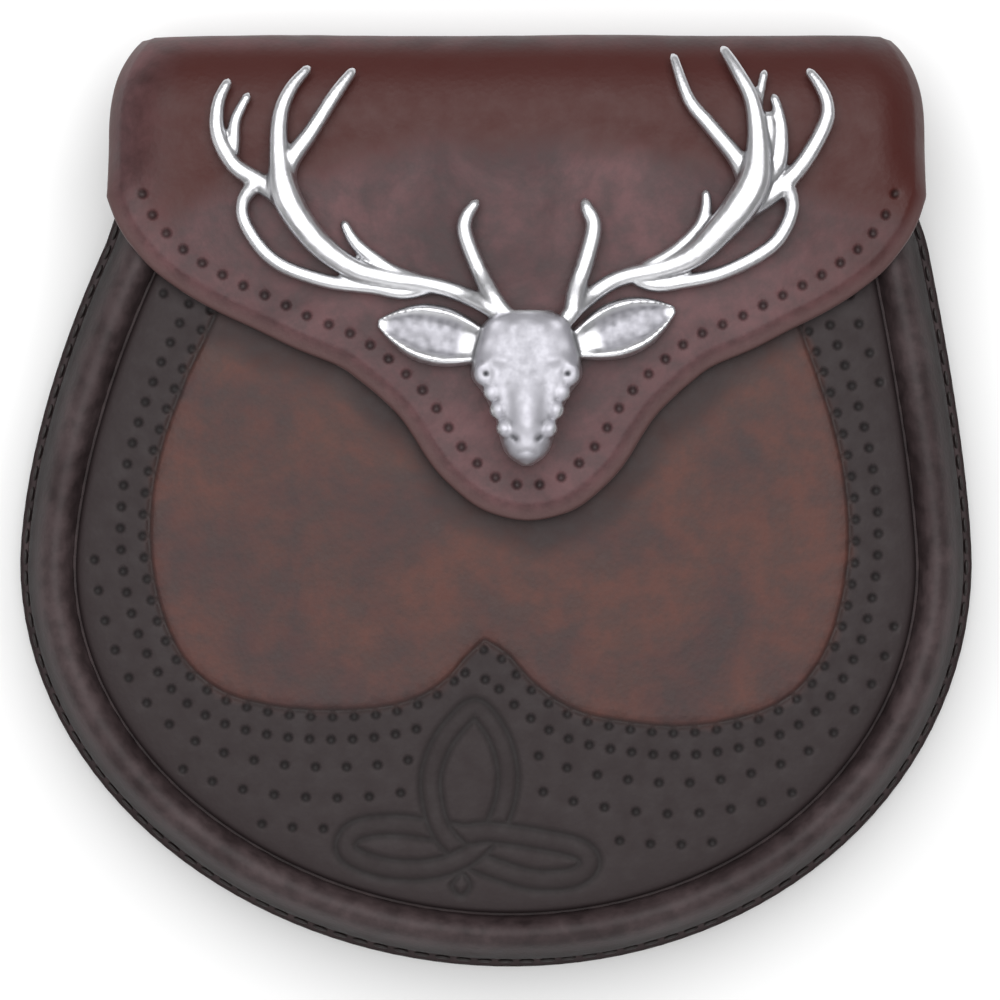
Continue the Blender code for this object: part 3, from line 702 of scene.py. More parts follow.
def front_dots():
    """Rows of dots outside the dye line, wherever the panel and the knot leave room."""
    rows = []
    for away, pitch in DOT_ROWS:
        row = dye_line - sideways(dye_line) * away
        row = row[distance_to(dye_close, row) > away * TIGHT]
        row = walk(row, pitch)
        row = row[inside(front_line, row) & (distance_to(front_close, row) > RIM_CLEAR)]
        row = row[distance_to(dye_close, row) > away * 0.8]
        rows.append(row[distance_to(knot_path, row) > KNOT_CLEAR])
    dots = np.vstack(rows)
    bead = pixels([BEAD], FRONT_SEEN_Z)
    dots = dots[distance_to(bead, dots) > BEAD_CLEAR]
    low, high = pixels(KNOT_BOX, FRONT_SEEN_Z)
    dots = dots[~((dots > low) & (dots < high)).all(axis=1)]
    print("dots on the front:", len(dots))
    return np.vstack([dots, bead])


front_centres = front_dots()
dye_tooling = [dye_line[inside(front_line, dye_line) & (distance_to(front_close, dye_line) > 2.0)]]
teardrop = smooth_line(pixels(TEARDROP, FRONT_SEEN_Z), closed=True)
knot_tooling = knot_edges + [np.vstack([teardrop, teardrop[:1]])]

# %% Front panel
FLAP_EDGE_SEEN = (
    (112, 200), (160, 285), (255, 333), (345, 362), (420, 430), (470, 500), (535, 522), (600, 495),
    (650, 430), (740, 350), (885, 270),
)
# Painted shadow on the front along the flap's edge: how dark, how far out and how soft.
FLAP_SHADOW_PAINT, FLAP_SHADOW_REACH, FLAP_SHADOW_SOFT = 0.8, 8.0, 6.0
RAGGED, RAGGED_SIZE, DYE_SOFT = 0.8, 4.0, 2.4
flap_edge_seen = walk(smooth_line(pixels(FLAP_EDGE_SEEN, FRONT_SEEN_Z)), 0.5)


def front_relief(points, deep):
    lift, pit = punched(points, front_centres)
    for lines, width in ((dye_tooling, DYE_LINE_WIDTH), (knot_tooling, KNOT_LINE_WIDTH)):
        down, dark = tooled(points, lines, width)
        lift += down
        pit = np.maximum(pit, dark)
    strand = 1.0 - ease((distance_to(knot_path, points) - STRAND_HALF) / 0.8)
    pit = np.maximum(pit, STRAND_DYE * strand)
    return lift + waves(points, "front"), pit


def front_dye_and_shadow(points):
    """The darker border, and a painted shadow on the leather beside the flap's edge."""
    away = distance_to(dye_close, points)
    signed = np.where(inside(dye_loop, points), -away, away)
    border = ease((signed + RAGGED * unevenness(points, RAGGED_SIZE, 2.2) + 1.0) / DYE_SOFT)
    # Painted shadow: darkest up to 2 mm from the flap's edge and gone 8 mm out, with a wavering reach.
    shaded = distance_to(flap_edge_seen, points) + 1.5 * unevenness(points, 7.0, 5.5)
    return np.maximum(border, FLAP_SHADOW_PAINT * ease((FLAP_SHADOW_REACH - shaded) / FLAP_SHADOW_SOFT))


leather_sheet(
    "front_leather_sheet", front_line, front_place, FRONT_LEATHER, front_leather,
    marks=np.vstack([
        dot_marks(front_centres), line_marks(dye_tooling, DYE_LINE_WIDTH),
        line_marks(knot_tooling, KNOT_LINE_WIDTH),
    ]),
    relief=front_relief, dye_and_shade=front_dye_and_shadow, pitch=1.5, edge_round=1.05,
    replaces=("front_panel",), slot="front_leather",
)

# %% [markdown]
# ## Gusset
# The gusset is one long strip, sewn to the back at its outer edge, bulging up to a crest and
# then down into the groove beside the front. A strip like this is a loft: the same section runs
# along many insets of the outline. Its own seam pulls small puckers into the crest's inner
# side, and the stitches of the outer seam nick its cut edge.

# %% Gusset
GUSSET_SECTION = (
    # inset as a share of RIM_WIDTH, rise as a share of the wall, dip as a share of the groove
    (0.015, 0.00, 0.00), (0.120, 0.00, 0.00), (0.200, 0.02, 0.00), (0.245, 0.11, 0.00),
    (0.265, 0.30, 0.00), (0.310, 0.52, 0.00), (0.385, 0.72, 0.00), (0.495, 0.88, 0.00),
    (0.610, 0.97, 0.00), (0.725, 1.00, 0.00), (0.830, 1.00, 0.10), (0.905, 1.00, 0.42),
    (0.955, 1.00, 0.82), (1.020, 1.00, 1.00), (1.410, 1.00, 1.00),
)
GUSSET_STATIONS = 480
PUCKER_PITCH, PUCKER_DEPTH = 5.0, 0.28
STITCH_PITCH, NICK_DEPTH = 4.2, 0.35
CUT_THICKNESS = 0.62


def ripple(run, pitch):
    """A wave from 0 to 1 that comes back at every pitch of a run."""
    return 0.5 + 0.5 * np.cos(2 * math.pi * run / pitch)


def gusset_middle(section):
    """The strip's middle: a row of points along the outline for each point of its section."""
    lines = []
    for inset, rise, dip in section:
        line = walk(outline(MOUTH_Y, RIM_WIDTH * inset), 1.0)
        line = at_stops(line, np.arange(len(line)), np.linspace(0, len(line) - 1, GUSSET_STATIONS))
        seat = back_face(line[:, 1]) + BACK_LEATHER + SEAT_GAP + GUSSET_LEATHER / 2
        lines.append(np.column_stack([line, seat + (CREST_Z - seat) * rise - GROOVE_DIP * dip]))
    return np.array(lines)


def make_gusset():
    section = smooth_line(GUSSET_SECTION, steps=4)
    inset, rise = section[:, 0], section[:, 1]
    grid = gusset_middle(section)
    normal = np.cross(np.gradient(grid, axis=0), np.gradient(grid, axis=1))
    normal /= np.linalg.norm(normal, axis=2)[:, :, None]
    if normal[0, :, 2].mean() < 0:
        normal = -normal
    pull = ripple(travelled(grid[-5]), PUCKER_PITCH) * np.exp(-((inset - 0.90) / 0.07) ** 2)[:, None]
    nick = NICK_DEPTH * ripple(travelled(grid[0]), STITCH_PITCH) ** 3
    at_edge = ease((0.10 - inset) / 0.08)[:, None, None]
    grid[:, :, :2] -= at_edge * (sideways(grid[0, :, :2]) * nick[:, None])[None]
    wave = waves(grid[:, :, :2].reshape(-1, 2), "gusset").reshape(grid.shape[:2])
    wave *= ease((rise - 0.1) / 0.4)[:, None]
    grid = grid + normal * (wave - PUCKER_DEPTH * pull)[:, :, None]
    count = np.arange(len(section))
    from_cut = ease(np.minimum(count, count[::-1]) / 3.0)
    half = GUSSET_LEATHER / 2 * (CUT_THICKNESS + (1 - CUT_THICKNESS) * from_cut)[:, None, None]
    skins = np.concatenate([grid + normal * half, (grid - normal * half)[::-1]])
    rows, stations = skins.shape[:2]
    ids = np.arange(rows * stations).reshape(rows, stations).tolist()
    faces = []
    for near, far in zip(ids, ids[1:] + ids[:1]):
        faces += [(near[step], near[step + 1], far[step + 1], far[step]) for step in range(stations - 1)]
    for end, turn in ((0, 1), (-1, -1)):
        for row in range(len(section) - 1):
            cap = (ids[row][end], ids[row + 1][end], ids[-2 - row][end], ids[-1 - row][end])
            faces.append(cap[::turn])
    paint = {
        "edge": np.tile(np.concatenate([1 - from_cut, 1 - from_cut[::-1]])[:, None], (1, stations)),
        "pit": np.zeros((rows, stations)),
        "dye_and_shade": np.zeros((rows, stations)),
    }
    # Painted shade: the outer wall between the seam and the crest is painted near black, and made duller,
    # where it slopes away from the light.
    paint["dye_and_shade"][:len(section)] = (ease((0.60 - inset) / 0.3) * ease((inset - 0.18) / 0.08))[:, None]
    put_piece(
        "gusset_leather_strip", skins.reshape(-1, 3), faces, gusset_leather,
        replaces=("gusset",), slot="gusset_leather",
        paint={label: values.ravel() for label, values in paint.items()},
    )


make_gusset()

# %% [markdown]
# ## Flap
# The flap is sewn behind the back panel, rolls over the top and falls down the front to a
# tongue. It is drawn flat, as it was cut, and rolled afterwards: one flat direction runs across
# it, the other runs down its front, round the roll and behind the back.

# %% Flap shape
FLAP_HALF, FLAP_FALL, FLAP_SHIFT, TONGUE_SHIFT = 79.9, 95.2, 4.0, 2.3
ROLL_FRONT, FLAP_SEAM_WIDTH, FLAP_CORNER = 18.0, 20.0, 4.0
FLAP_PINCH, PINCH_REACH, PINCH_POWER = 6.6, 22.4, 3.0
FLAP_BOW, WRAP, WRAP_START, WRAP_EASE = 2.2, 7.0, 0.86, 18.0
CORNER_Y = ROLL_TOP_Y - 38.4
STUD_THICKNESS = 1.2
FLAP_FACE_Z = FRONT_TOP_Z + SEAT_GAP + STUD_THICKNESS + SEAT_GAP + FLAP_LEATHER / 2
APEX_Y = ROLL_TOP_Y - FLAP_LEATHER / 2
FRONT_TURN_Y = ROLL_TOP_Y - ROLL_FRONT
BACK_TURN_Y = BACK_TOP_Y + SEAT_GAP
SEAM_Y = BACK_TOP_Y - FLAP_SEAM_WIDTH
SEAM_DROP = SEAT_GAP + FLAP_LEATHER / 2
FLAP_EDGE = (
    # across: share of half the width, fall: share of FLAP_FALL
    (0.000, 1.000), (0.072, 0.990), (0.135, 0.966), (0.205, 0.915), (0.245, 0.873),
    (0.275, 0.832), (0.310, 0.789), (0.354, 0.751), (0.405, 0.715), (0.456, 0.685),
    (0.556, 0.650), (0.654, 0.609), (0.740, 0.574), (0.820, 0.534), (0.888, 0.490),
    (0.937, 0.443), (0.970, 0.400), (1.000, 0.338),
)


def flap_bow(across, y):
    """How far the flap's face lies below its middle: bowed, and wrapped back at its upper sides."""
    past = np.maximum(0.0, (np.abs(across) - WRAP_START) / (1.0 - WRAP_START))
    return FLAP_BOW * across ** 2 + WRAP * past ** 2 * ease((y - CORNER_Y) / WRAP_EASE)


def quarter(reach_y, reach_z):
    """Angle against length along a quarter of an ellipse, from its flat side."""
    turn = np.linspace(0.0, math.pi / 2, 200)
    return travelled(np.column_stack([reach_y * np.sin(turn), reach_z * np.cos(turn)])), turn


SEAM_Z = back_face(BACK_TURN_Y) - SEAM_DROP
ROLL_HALF_Z = (FLAP_FACE_Z - SEAM_Z) / 2
front_run, front_turn = quarter(APEX_Y - FRONT_TURN_Y, ROLL_HALF_Z)
back_run, back_turn = quarter(APEX_Y - BACK_TURN_Y, ROLL_HALF_Z)
APEX_V = FRONT_TURN_Y + front_run[-1]
BACK_V = APEX_V + back_run[-1]
SEWN_V = BACK_V + BACK_TURN_Y - SEAM_Y
print("flap leather is", round(SEWN_V - ROLL_TOP_Y + FLAP_FALL), "mm long")


def flap_middle(points):
    """Flat flap points (across in mm, along) on the middle of the folded leather."""
    across, along = points[:, 0] / FLAP_HALF, points[:, 1]
    face_z = FLAP_FACE_Z - flap_bow(across, np.minimum(along, FRONT_TURN_Y))
    middle_z = (FLAP_FACE_Z - flap_bow(across, FRONT_TURN_Y) + SEAM_Z) / 2
    front = np.interp(along - FRONT_TURN_Y, front_run, front_turn)
    back = np.interp(BACK_V - along, back_run, back_turn)
    zones = [along <= FRONT_TURN_Y, along <= APEX_V, along > BACK_V]
    y = np.select(zones, [
        along,
        FRONT_TURN_Y + (APEX_Y - FRONT_TURN_Y) * np.sin(front),
        BACK_TURN_Y - (along - BACK_V),
    ], BACK_TURN_Y + (APEX_Y - BACK_TURN_Y) * np.sin(back))
    z = np.select(zones, [
        face_z,
        middle_z + (face_z - middle_z) * np.cos(front),
        back_face(y) - SEAM_DROP,
    ], middle_z + (SEAM_Z - middle_z) * np.cos(back))
    width_y = np.where(zones[1], y, APEX_Y)
    past = np.maximum(0.0, 1.0 - (ROLL_TOP_Y - width_y) / PINCH_REACH)
    half = FLAP_HALF - FLAP_PINCH * past ** PINCH_POWER
    x = FLAP_SHIFT + half * across + TONGUE_SHIFT * (1.0 - across ** 2)
    return np.column_stack([x, y, z])


def flap_outline():
    """The flap as it was cut, anticlockwise from its left corner."""
    edge = [(-across, fall) for across, fall in reversed(FLAP_EDGE[1:])] + list(FLAP_EDGE)
    low = smooth_line([(FLAP_HALF * across, ROLL_TOP_Y - FLAP_FALL * fall) for across, fall in edge], 8)
    turn = np.linspace(0.0, math.pi / 2, 8)
    top = np.column_stack([np.cos(turn) - 1, np.sin(turn) - 1]) * FLAP_CORNER + (FLAP_HALF, SEWN_V)
    return low, np.vstack([low, top, top[::-1] * (-1.0, 1.0)])


flap_low, flap_rim = flap_outline()

# %% Flap
FLAP_DOT_INSET, FLAP_DOT_PITCH, FLAP_DOTS_TOP = 6.7, 4.4, 61.0
BEVEL_WIDTH, BEVEL_DROP, BEVEL_LIP, BEVEL_RINGS = 3.3, 0.85, 0.12, (2.3, 2.9, 3.3, 3.7, 4.3)
CREASE = (
    (160, 205), (235, 172), (330, 152), (420, 132), (500, 125), (600, 133), (700, 150), (800, 175),
    (875, 205),
)
CREASE_Z, CREASE_WIDTH, CREASE_DEPTH = 36.0, 3.2, 0.35
UNBEVELLED = 30.0
# How much of the roll's painted shade is lifted again at its top edge as a painted highlight, and how red
# the right side is.
TOP_EDGE_HIGHLIGHT, RIGHT_RED = 0.75, 0.35

crease_line = smooth_line(pixels(CREASE, CREASE_Z)) - (FLAP_SHIFT + TONGUE_SHIFT, 0.0)


def flap_dots():
    """One row of dots along the flap's edge, as high as the photo shows it."""
    edge = walk(np.vstack([[(-FLAP_HALF, 72.0)], flap_low, [(FLAP_HALF, 72.0)]]), 0.5)
    row = edge + sideways(edge) * FLAP_DOT_INSET
    row = row[distance_to(walk(edge, 0.15), row) > FLAP_DOT_INSET * TIGHT]
    return walk(row[row[:, 1] < FLAP_DOTS_TOP], FLAP_DOT_PITCH)


flap_centres = flap_dots()
flap_even = walk(flap_rim, 0.9, closed=True)
bevel_rings = [flap_even + sideways(flap_even, closed=True) * inset for inset in BEVEL_RINGS]


def flap_relief(points, deep):
    lift, pit = punched(points, flap_centres)
    low = ease((SEWN_V - UNBEVELLED - points[:, 1]) / 10.0)
    bevel = 1.0 - ease((deep - BEVEL_WIDTH * 0.55) / (BEVEL_WIDTH * 0.55))
    slope = np.clip(1.0 - deep / BEVEL_WIDTH, 0.0, 1.0)
    lift -= low * (BEVEL_DROP * slope + BEVEL_LIP * bevel)
    lift -= CREASE_DEPTH * np.exp(-(distance_to(crease_line, points) / CREASE_WIDTH) ** 2)
    return lift + waves(points, "flap"), pit


def flap_roll_shade_and_red(points):
    """Painted shade: the roll goes a darker red where its sheen falls away, and its top edge is lifted
    again as a painted highlight; the right side is redder; the rest keeps the greyer brown face.
    """
    above = points[:, 1] - np.interp(points[:, 0], crease_line[:, 0], crease_line[:, 1])
    above = above + 3.0 * unevenness(points, 12.0, 6.1)
    right = points[:, 0] + 6.0 * unevenness(points, 14.0, 3.9)
    # Painted shade on the roll, none at its left end and lifted near its top edge as a painted highlight.
    roll = ease((above + 8.0) / 9.0) * ease((points[:, 0] + 78.0) / 14.0)
    roll *= 1.0 - TOP_EDGE_HIGHLIGHT * ease((points[:, 1] - APEX_V + 10.5) / 4.5)
    return np.maximum(roll, RIGHT_RED * ease((right - 42.0) / 26.0))


leather_sheet(
    "flap_leather_sheet", flap_rim, off_surface(flap_middle), FLAP_LEATHER, flap_leather,
    marks=np.vstack([dot_marks(flap_centres), *bevel_rings]),
    # The flap's lighter edge band, 3.4 mm wide, is a painted highlight along its bevelled edge.
    relief=flap_relief, dye_and_shade=flap_roll_shade_and_red, pitch=1.6, edge_band=3.4,
    replaces=("flap",), slot="flap_leather",
)

# %% [markdown]
# ## Belt loops
# Two strips are sewn to the back and bow out to take the strap. Their own bow carries the
# pouch where it lies.

# %% Belt loops
LOOP_WIDTH, LOOP_SPACING, LOOP_LENGTH, LOOP_BELOW_FLAP, LOOP_SEWN_END = 20.0, 84.0, 48.0, 3.0, 8.0
LOOP_BOW = (
    # along: share of half the loose length, bow: share of the way out to the resting surface
    (-1.00, 0.00), (-0.85, 0.03), (-0.62, 0.50), (-0.45, 0.94), (-0.32, 1.00),
    (0.32, 1.00), (0.45, 0.94), (0.62, 0.50), (0.85, 0.03), (1.00, 0.00),
)
LOOP_TOP_Y = SEAM_Y - LOOP_BELOW_FLAP


def loop_curve():
    """The strap's middle seen from the side, as (y, z) points."""
    bend = LOOP_LENGTH / 2 - LOOP_SEWN_END
    middle = LOOP_TOP_Y - LOOP_LENGTH / 2
    rows = [(LOOP_TOP_Y - LOOP_LENGTH, 0.0), *((middle + bend * along, bow) for along, bow in LOOP_BOW)]
    places = []
    for y, bow in rows + [(LOOP_TOP_Y, 0.0)]:
        sewn = back_face(y) - SEAT_GAP - LOOP_LEATHER / 2
        places.append((y, sewn + (LOOP_LEATHER / 2 - sewn) * bow))
    return np.maximum(smooth_line(places, 8), (-BODY_WIDTH, LOOP_LEATHER / 2))


loop_line = loop_curve()
loop_run = travelled(loop_line)


def make_belt_loop(name, node, side):
    def middle(points):
        x = side * LOOP_SPACING / 2 - points[:, 0]
        return np.column_stack([x, at_stops(loop_line, loop_run, points[:, 1])])

    half, length = LOOP_WIDTH / 2, loop_run[-1]
    rim = np.array([(-half, 0.0), (half, 0.0), (half, length), (-half, length)])
    leather_sheet(name, rim, off_surface(middle), LOOP_LEATHER, back_leather, pitch=1.2,
                  edge_round=0.5, replaces=(node,), slot="loop_leather")


make_belt_loop("left_belt_loop", "belt_loop_left", -1)
make_belt_loop("right_belt_loop", "belt_loop_right", 1)

# %% [markdown]
# ## Stitches
# The seams are sewn by hand with dark waxed thread, about six stitches to the inch. Each stitch
# is a short rod that dips into the leather at both ends. One mesh holds all of a seam's
# stitches. The outer seam goes right through, so one row lies in front and one behind.

# %% Waxed thread
def waxed_thread():
    """Linen drawn through black wax: dull and dark, with a twist too fine to show as strands."""
    made, tree = new_material("dark_waxed_linen_thread")
    where = (add(tree, "TexCoord"), "Object")
    twist = add(tree, "TexNoise", {"Scale": 1 / (0.5 * MM), "Detail": 2.0}, {"Vector": where})
    bump = add(tree, "Bump", {"Strength": 0.4, "Distance": 0.08 * MM}, {"Height": (twist, 0)})
    shader = add(tree, "BsdfPrincipled", {"Base Color": linear("#221A19"), "Roughness": 0.5},
                 {"Normal": (bump, "Normal")})
    add(tree, "OutputMaterial", links={"Surface": (shader, "BSDF")})
    return made


thread = waxed_thread()
print("thread:", thread.name)

# %% Stitches
STITCH_LENGTH, STITCH_RADIUS, STITCH_RISE, STITCH_DIP = 3.3, 0.42, 0.15, 0.5
STITCH_SECTIONS = (-1.0, -0.9, -0.5, 0.0, 0.5, 0.9, 1.0)
STITCH_SIDES = 8
SEAMS = (
    # name, flat line, height above the back's outer face, side that the stitches face
    ("outer_seam_stitches", outline(MOUTH_Y, SEAM_INSET), BACK_LEATHER + SEAT_GAP + GUSSET_LEATHER, 1),
    ("back_seam_stitches", outline(SEAM_Y - 2.0, SEAM_INSET), STITCH_RADIUS + 0.2, -1),
    ("flap_seam_stitches", np.array([(-68.0, SEAM_Y + 2.6), (72.0, SEAM_Y + 2.6)]),
     -SEAM_DROP - FLAP_LEATHER / 2, -1),
)


def sew(name, middles, ways, outward):
    """One mesh of stitches: each lies along its way on a surface that faces outward (+1 or -1)."""
    points, faces = [], []
    turn = turns(STITCH_SIDES)
    for middle, way in zip(middles, ways):
        way = way / np.linalg.norm(way)
        side = np.cross((0.0, 0.0, outward), way)
        side /= np.linalg.norm(side)
        up = np.cross(way, side)
        circle = np.outer(np.cos(turn), side) + np.outer(np.sin(turn), up)
        faces += rings_to_faces(len(STITCH_SECTIONS), STITCH_SIDES, len(points) * STITCH_SIDES)
        for share in STITCH_SECTIONS:
            high = STITCH_RISE - STITCH_DIP * share ** 4
            spine = middle + way * (STITCH_LENGTH / 2 * share) + up * high
            points.append(spine + STITCH_RADIUS * math.sqrt(max(0.05, 1.0 - share ** 4)) * circle)
    put_piece(name, np.vstack(points), faces, thread)


for name, line, height, outward in SEAMS:
    row = walk(line, STITCH_PITCH)
    row = np.column_stack([row, back_face(row[:, 1]) + height])
    sew(name, (row[1:] + row[:-1]) / 2, row[1:] - row[:-1], outward)


def loop_stitches(name, side):
    """Two rows of stitches across each sewn end of a belt loop."""
    middles = []
    for along in (1.6, 5.8, loop_run[-1] - 5.8, loop_run[-1] - 1.6):
        y, z = at_stops(loop_line, loop_run, along)[0]
        middles += [(side * LOOP_SPACING / 2 + STITCH_PITCH * across, y, z - LOOP_LEATHER / 2)
                    for across in (-1.5, -0.5, 0.5, 1.5)]
    sew(name, np.array(middles), np.array([(1.0, 0.0, 0.0)] * len(middles)), -1)


loop_stitches("left_loop_stitches", -1)
loop_stitches("right_loop_stitches", 1)

# %% [markdown]
# ## Cast badge
# The stag's head is one pewter casting, polished on its high places and dark in its hollows.
# It is modelled the way a caster's pattern is: rods for the tines, leaf shapes for the ears, a
# ridged head and flattened balls for eyes and cheeks are pushed together, fused by a voxel
# remesh and then carved by moving points: brows, eyelids, nose, nostrils and uneven fur.

# %% Badge sizes
ANTLER_SPREAD, ANTLER_RISE, ANTLER_THICKNESS, TINE_LIFT, TINE_SETBACK = 120.0, 50.0, 5.2, 0.8, 6.0
HEAD_LENGTH, HEAD_WIDTH, HEAD_RELIEF, HEAD_FULLNESS = 30.0, 22.6, 10.5, 0.42
EAR_LENGTH, EAR_WIDTH, EAR_RELIEF = 19.5, 10.6, 4.2
BADGE_ABOVE_TIP = 40.6
BADGE_X = FLAP_SHIFT + TONGUE_SHIFT
BADGE_Y = ROLL_TOP_Y - FLAP_FALL + BADGE_ABOVE_TIP
POST_DIAMETER, POST_HEAD_DIAMETER, POST_HEAD_THICKNESS = 3.0, 6.0, 0.7
HEAD_SECTIONS = (
    # down: share of HEAD_LENGTH, half_width: share of HEAD_WIDTH, relief: share of HEAD_RELIEF
    (0.00, 0.22, 0.62), (0.08, 0.365, 0.78), (0.19, 0.415, 0.84), (0.32, 0.46, 0.87),
    (0.43, 0.472, 0.88), (0.52, 0.385, 0.92), (0.61, 0.32, 0.97), (0.70, 0.265, 1.00),
    (0.80, 0.235, 0.99), (0.89, 0.20, 0.96), (0.95, 0.14, 0.89), (1.00, 0.04, 0.64),
)
EAR_SECTIONS = (
    # along: share of EAR_LENGTH, half_width: share of EAR_WIDTH, rim and dish: shares of EAR_RELIEF
    (-0.10, 0.26, 0.85, 0.85), (0.12, 0.43, 0.95, 0.72), (0.35, 0.53, 1.00, 0.66),
    (0.60, 0.50, 0.92, 0.62), (0.82, 0.32, 0.70, 0.50), (1.00, 0.07, 0.42, 0.38),
)
EAR_PROFILE = (
    # over: share of the half width, rim and dish: shares of the section's own
    (-1.0, 0.0, 0.0), (-1.0, 0.6, 0.0), (-0.8, 1.0, 0.0), (-0.4, 0.0, 1.0),
    (0.4, 0.0, 1.0), (0.8, 1.0, 0.0), (1.0, 0.6, 0.0), (1.0, 0.0, 0.0),
)
EARS = {
    # across: share of HEAD_WIDTH, down: share of HEAD_LENGTH, turn: degrees, size: share
    "left": (-0.43, 0.22, 167.5, 1.02),
    "right": (0.47, 0.205, 20.0, 0.97),
}
FACE_X = BADGE_X - 0.35
BUMPS = (
    # across the face, down from its crown, height of the middle, radius, half thickness
    (7.85, 12.4, 6.9, 2.5, 1.5),
    (6.6, 15.9, 7.4, 1.9, 1.5),
    (5.4, 19.3, 8.0, 1.9, 1.6),
    (4.2, 22.8, 8.3, 1.8, 1.7),
)
EYE_ACROSS, EYE_DOWN = BUMPS[0][:2]
TINES = {
    # marks from root to tip, in percent: across and up the antlers, and thick
    "left_beam": (
        (-5, -5, 54), (-14, 2, 54), (-24, 7.5, 54), (-34, 10.5, 55), (-45, 12.5, 58), (-56, 16, 66),
        (-66, 24, 78), (-73.5, 34.5, 88), (-78.5, 46, 92), (-80.3, 60, 64), (-80, 75, 52),
        (-76.5, 86, 42), (-70.5, 95, 29),
    ),
    "left_outer": ((-78.5, 45, 86), (-77.5, 56, 66), (-70, 69, 52), (-62, 84, 44), (-56, 94, 29)),
    "left_fork": (
        (-74, 37, 74), (-80, 44.5, 72), (-87, 50, 60), (-95, 56.5, 54), (-100, 68, 50),
        (-100, 80, 42), (-96.5, 90, 29),
    ),
    "left_spur": ((-95.5, 58, 46), (-95, 66, 44), (-94.3, 74, 38), (-90, 84.5, 27)),
    "left_guard": (
        (-30, 10, 52), (-40, 7, 46), (-50, 9, 46), (-65.5, 11.5, 46), (-81.5, 19, 46),
        (-90.5, 32, 44), (-92, 42, 44), (-87, 50.5, 54),
    ),
    "left_bez": ((-34, 10.5, 54), (-43, 14.5, 50), (-50, 20, 48), (-56, 26.5, 42), (-60, 35, 28)),
    "left_brow": (
        (-6, -4, 58), (-11, 4, 56), (-16.5, 17, 54), (-20.5, 30, 52), (-19.8, 36.5, 46),
        (-16, 43, 29),
    ),
    "right_beam": (
        (11, -5, 54), (16.5, 2.2, 54), (26.2, 10.7, 54), (34, 14, 56), (44, 16.5, 62),
        (53.5, 21.5, 78), (62, 31.5, 94), (68.5, 41, 106), (72.8, 51, 102), (73.8, 65, 70),
        (72, 81, 52), (67, 93.5, 42), (62.5, 103, 28),
    ),
    "right_inner": ((72, 47, 90), (67.5, 58, 60), (58, 72, 50), (51.5, 82, 42), (46.5, 100, 27)),
    "right_third": ((73, 68, 50), (74, 80, 34), (76.4, 93.5, 25)),
    "right_web": ((73.5, 50, 80), (76.8, 60, 54), (77.6, 69, 48), (77.2, 77, 36)),
    "right_fourth": ((72, 47, 86), (80, 56, 58), (81.5, 68, 46), (80.5, 77, 36), (78.8, 84, 26)),
    "right_fork": (
        (62, 30.5, 70), (70, 38.5, 70), (80, 46.6, 62), (88.5, 57, 54), (95.5, 72, 50),
        (96.3, 80, 44), (94, 87, 38), (90, 94, 27),
    ),
    "right_guard": (
        (33, 13.4, 52), (41, 10, 48), (50, 11.2, 46), (61.5, 14.2, 46), (73.7, 21.1, 48),
        (81, 28.5, 46), (85, 40, 46), (82.5, 50, 58),
    ),
    "right_bez": ((36, 14.6, 56), (47, 22.3, 52), (55, 32, 44), (57.2, 40, 38), (57, 47, 27)),
    "right_brow": (
        (14, -3, 60), (15.2, 7.6, 58), (18.8, 20.7, 58), (21, 32.7, 54), (19, 39, 46),
        (17.8, 43.5, 29),
    ),
}
POSTS = ((0.00, -0.22), (-0.62, 0.22), (0.60, 0.30))

# %% Badge shapes
TINE_PITCH, TINE_SIDES, HEAD_SIDES = 0.8, 16, 40
TINE_SQUARENESS, TINE_SWELL, TIP_RADIUS = 0.82, 1.2, 0.85
MEET_RISE, MEET_DOWN, MEET_NEAR, MEET_FAR = 3.0, 4.0, 8.0, 16.0


def flap_face(x):
    """Height of the flap's outer face at x, below the roll."""
    return FLAP_FACE_Z + FLAP_LEATHER / 2 - FLAP_BOW * ((x - BADGE_X) / FLAP_HALF) ** 2


def badge_seat(x, y):
    """Height of the badge's back, which follows the flap over its roll."""
    past = np.maximum(0.0, 1.0 - (ROLL_TOP_Y - y) / ROLL_FRONT)
    return flap_face(x) + SEAT_GAP - TINE_SETBACK * past ** 2


def tine_rings(marks):
    """A tapered rod, rounded at both ends and a little flat on top, bent through its marks."""
    marks = np.array(marks) / 100 * (ANTLER_SPREAD / 2, ANTLER_RISE, ANTLER_THICKNESS / 2)
    line = walk(smooth_line(marks, 10), TINE_PITCH)
    x, y = BADGE_X + line[:, 0], BADGE_Y + line[:, 1]
    count = len(line)
    radius = np.maximum(line[:, 2] * TINE_SWELL, TIP_RADIUS)
    from_crown = np.hypot(x - FACE_X, y - BADGE_Y + MEET_DOWN)
    z = badge_seat(x, y) + radius + TINE_LIFT * np.linspace(0.0, 1.0, count)
    z += MEET_RISE * ease((MEET_FAR - from_crown) / (MEET_FAR - MEET_NEAR))
    left = np.append(sideways(np.column_stack([x, y])), np.zeros((count, 1)), axis=1)
    steps = np.arange(count)
    from_end = np.minimum(steps, steps[::-1]) * TINE_PITCH / radius
    radius = radius * np.sqrt(1 - np.clip(0.93 - from_end, 0, 1) ** 2)
    rings = []
    for turn in turns(TINE_SIDES):
        wide, high = (math.copysign(abs(part) ** TINE_SQUARENESS, part)
                      for part in (math.cos(turn), math.sin(turn)))
        side = left * wide + np.array([0.0, 0.0, 1.0]) * high
        rings.append(np.column_stack([x, y, z]) + side * radius[:, None])
    return np.stack(rings, axis=1).reshape(-1, 3), count, TINE_SIDES


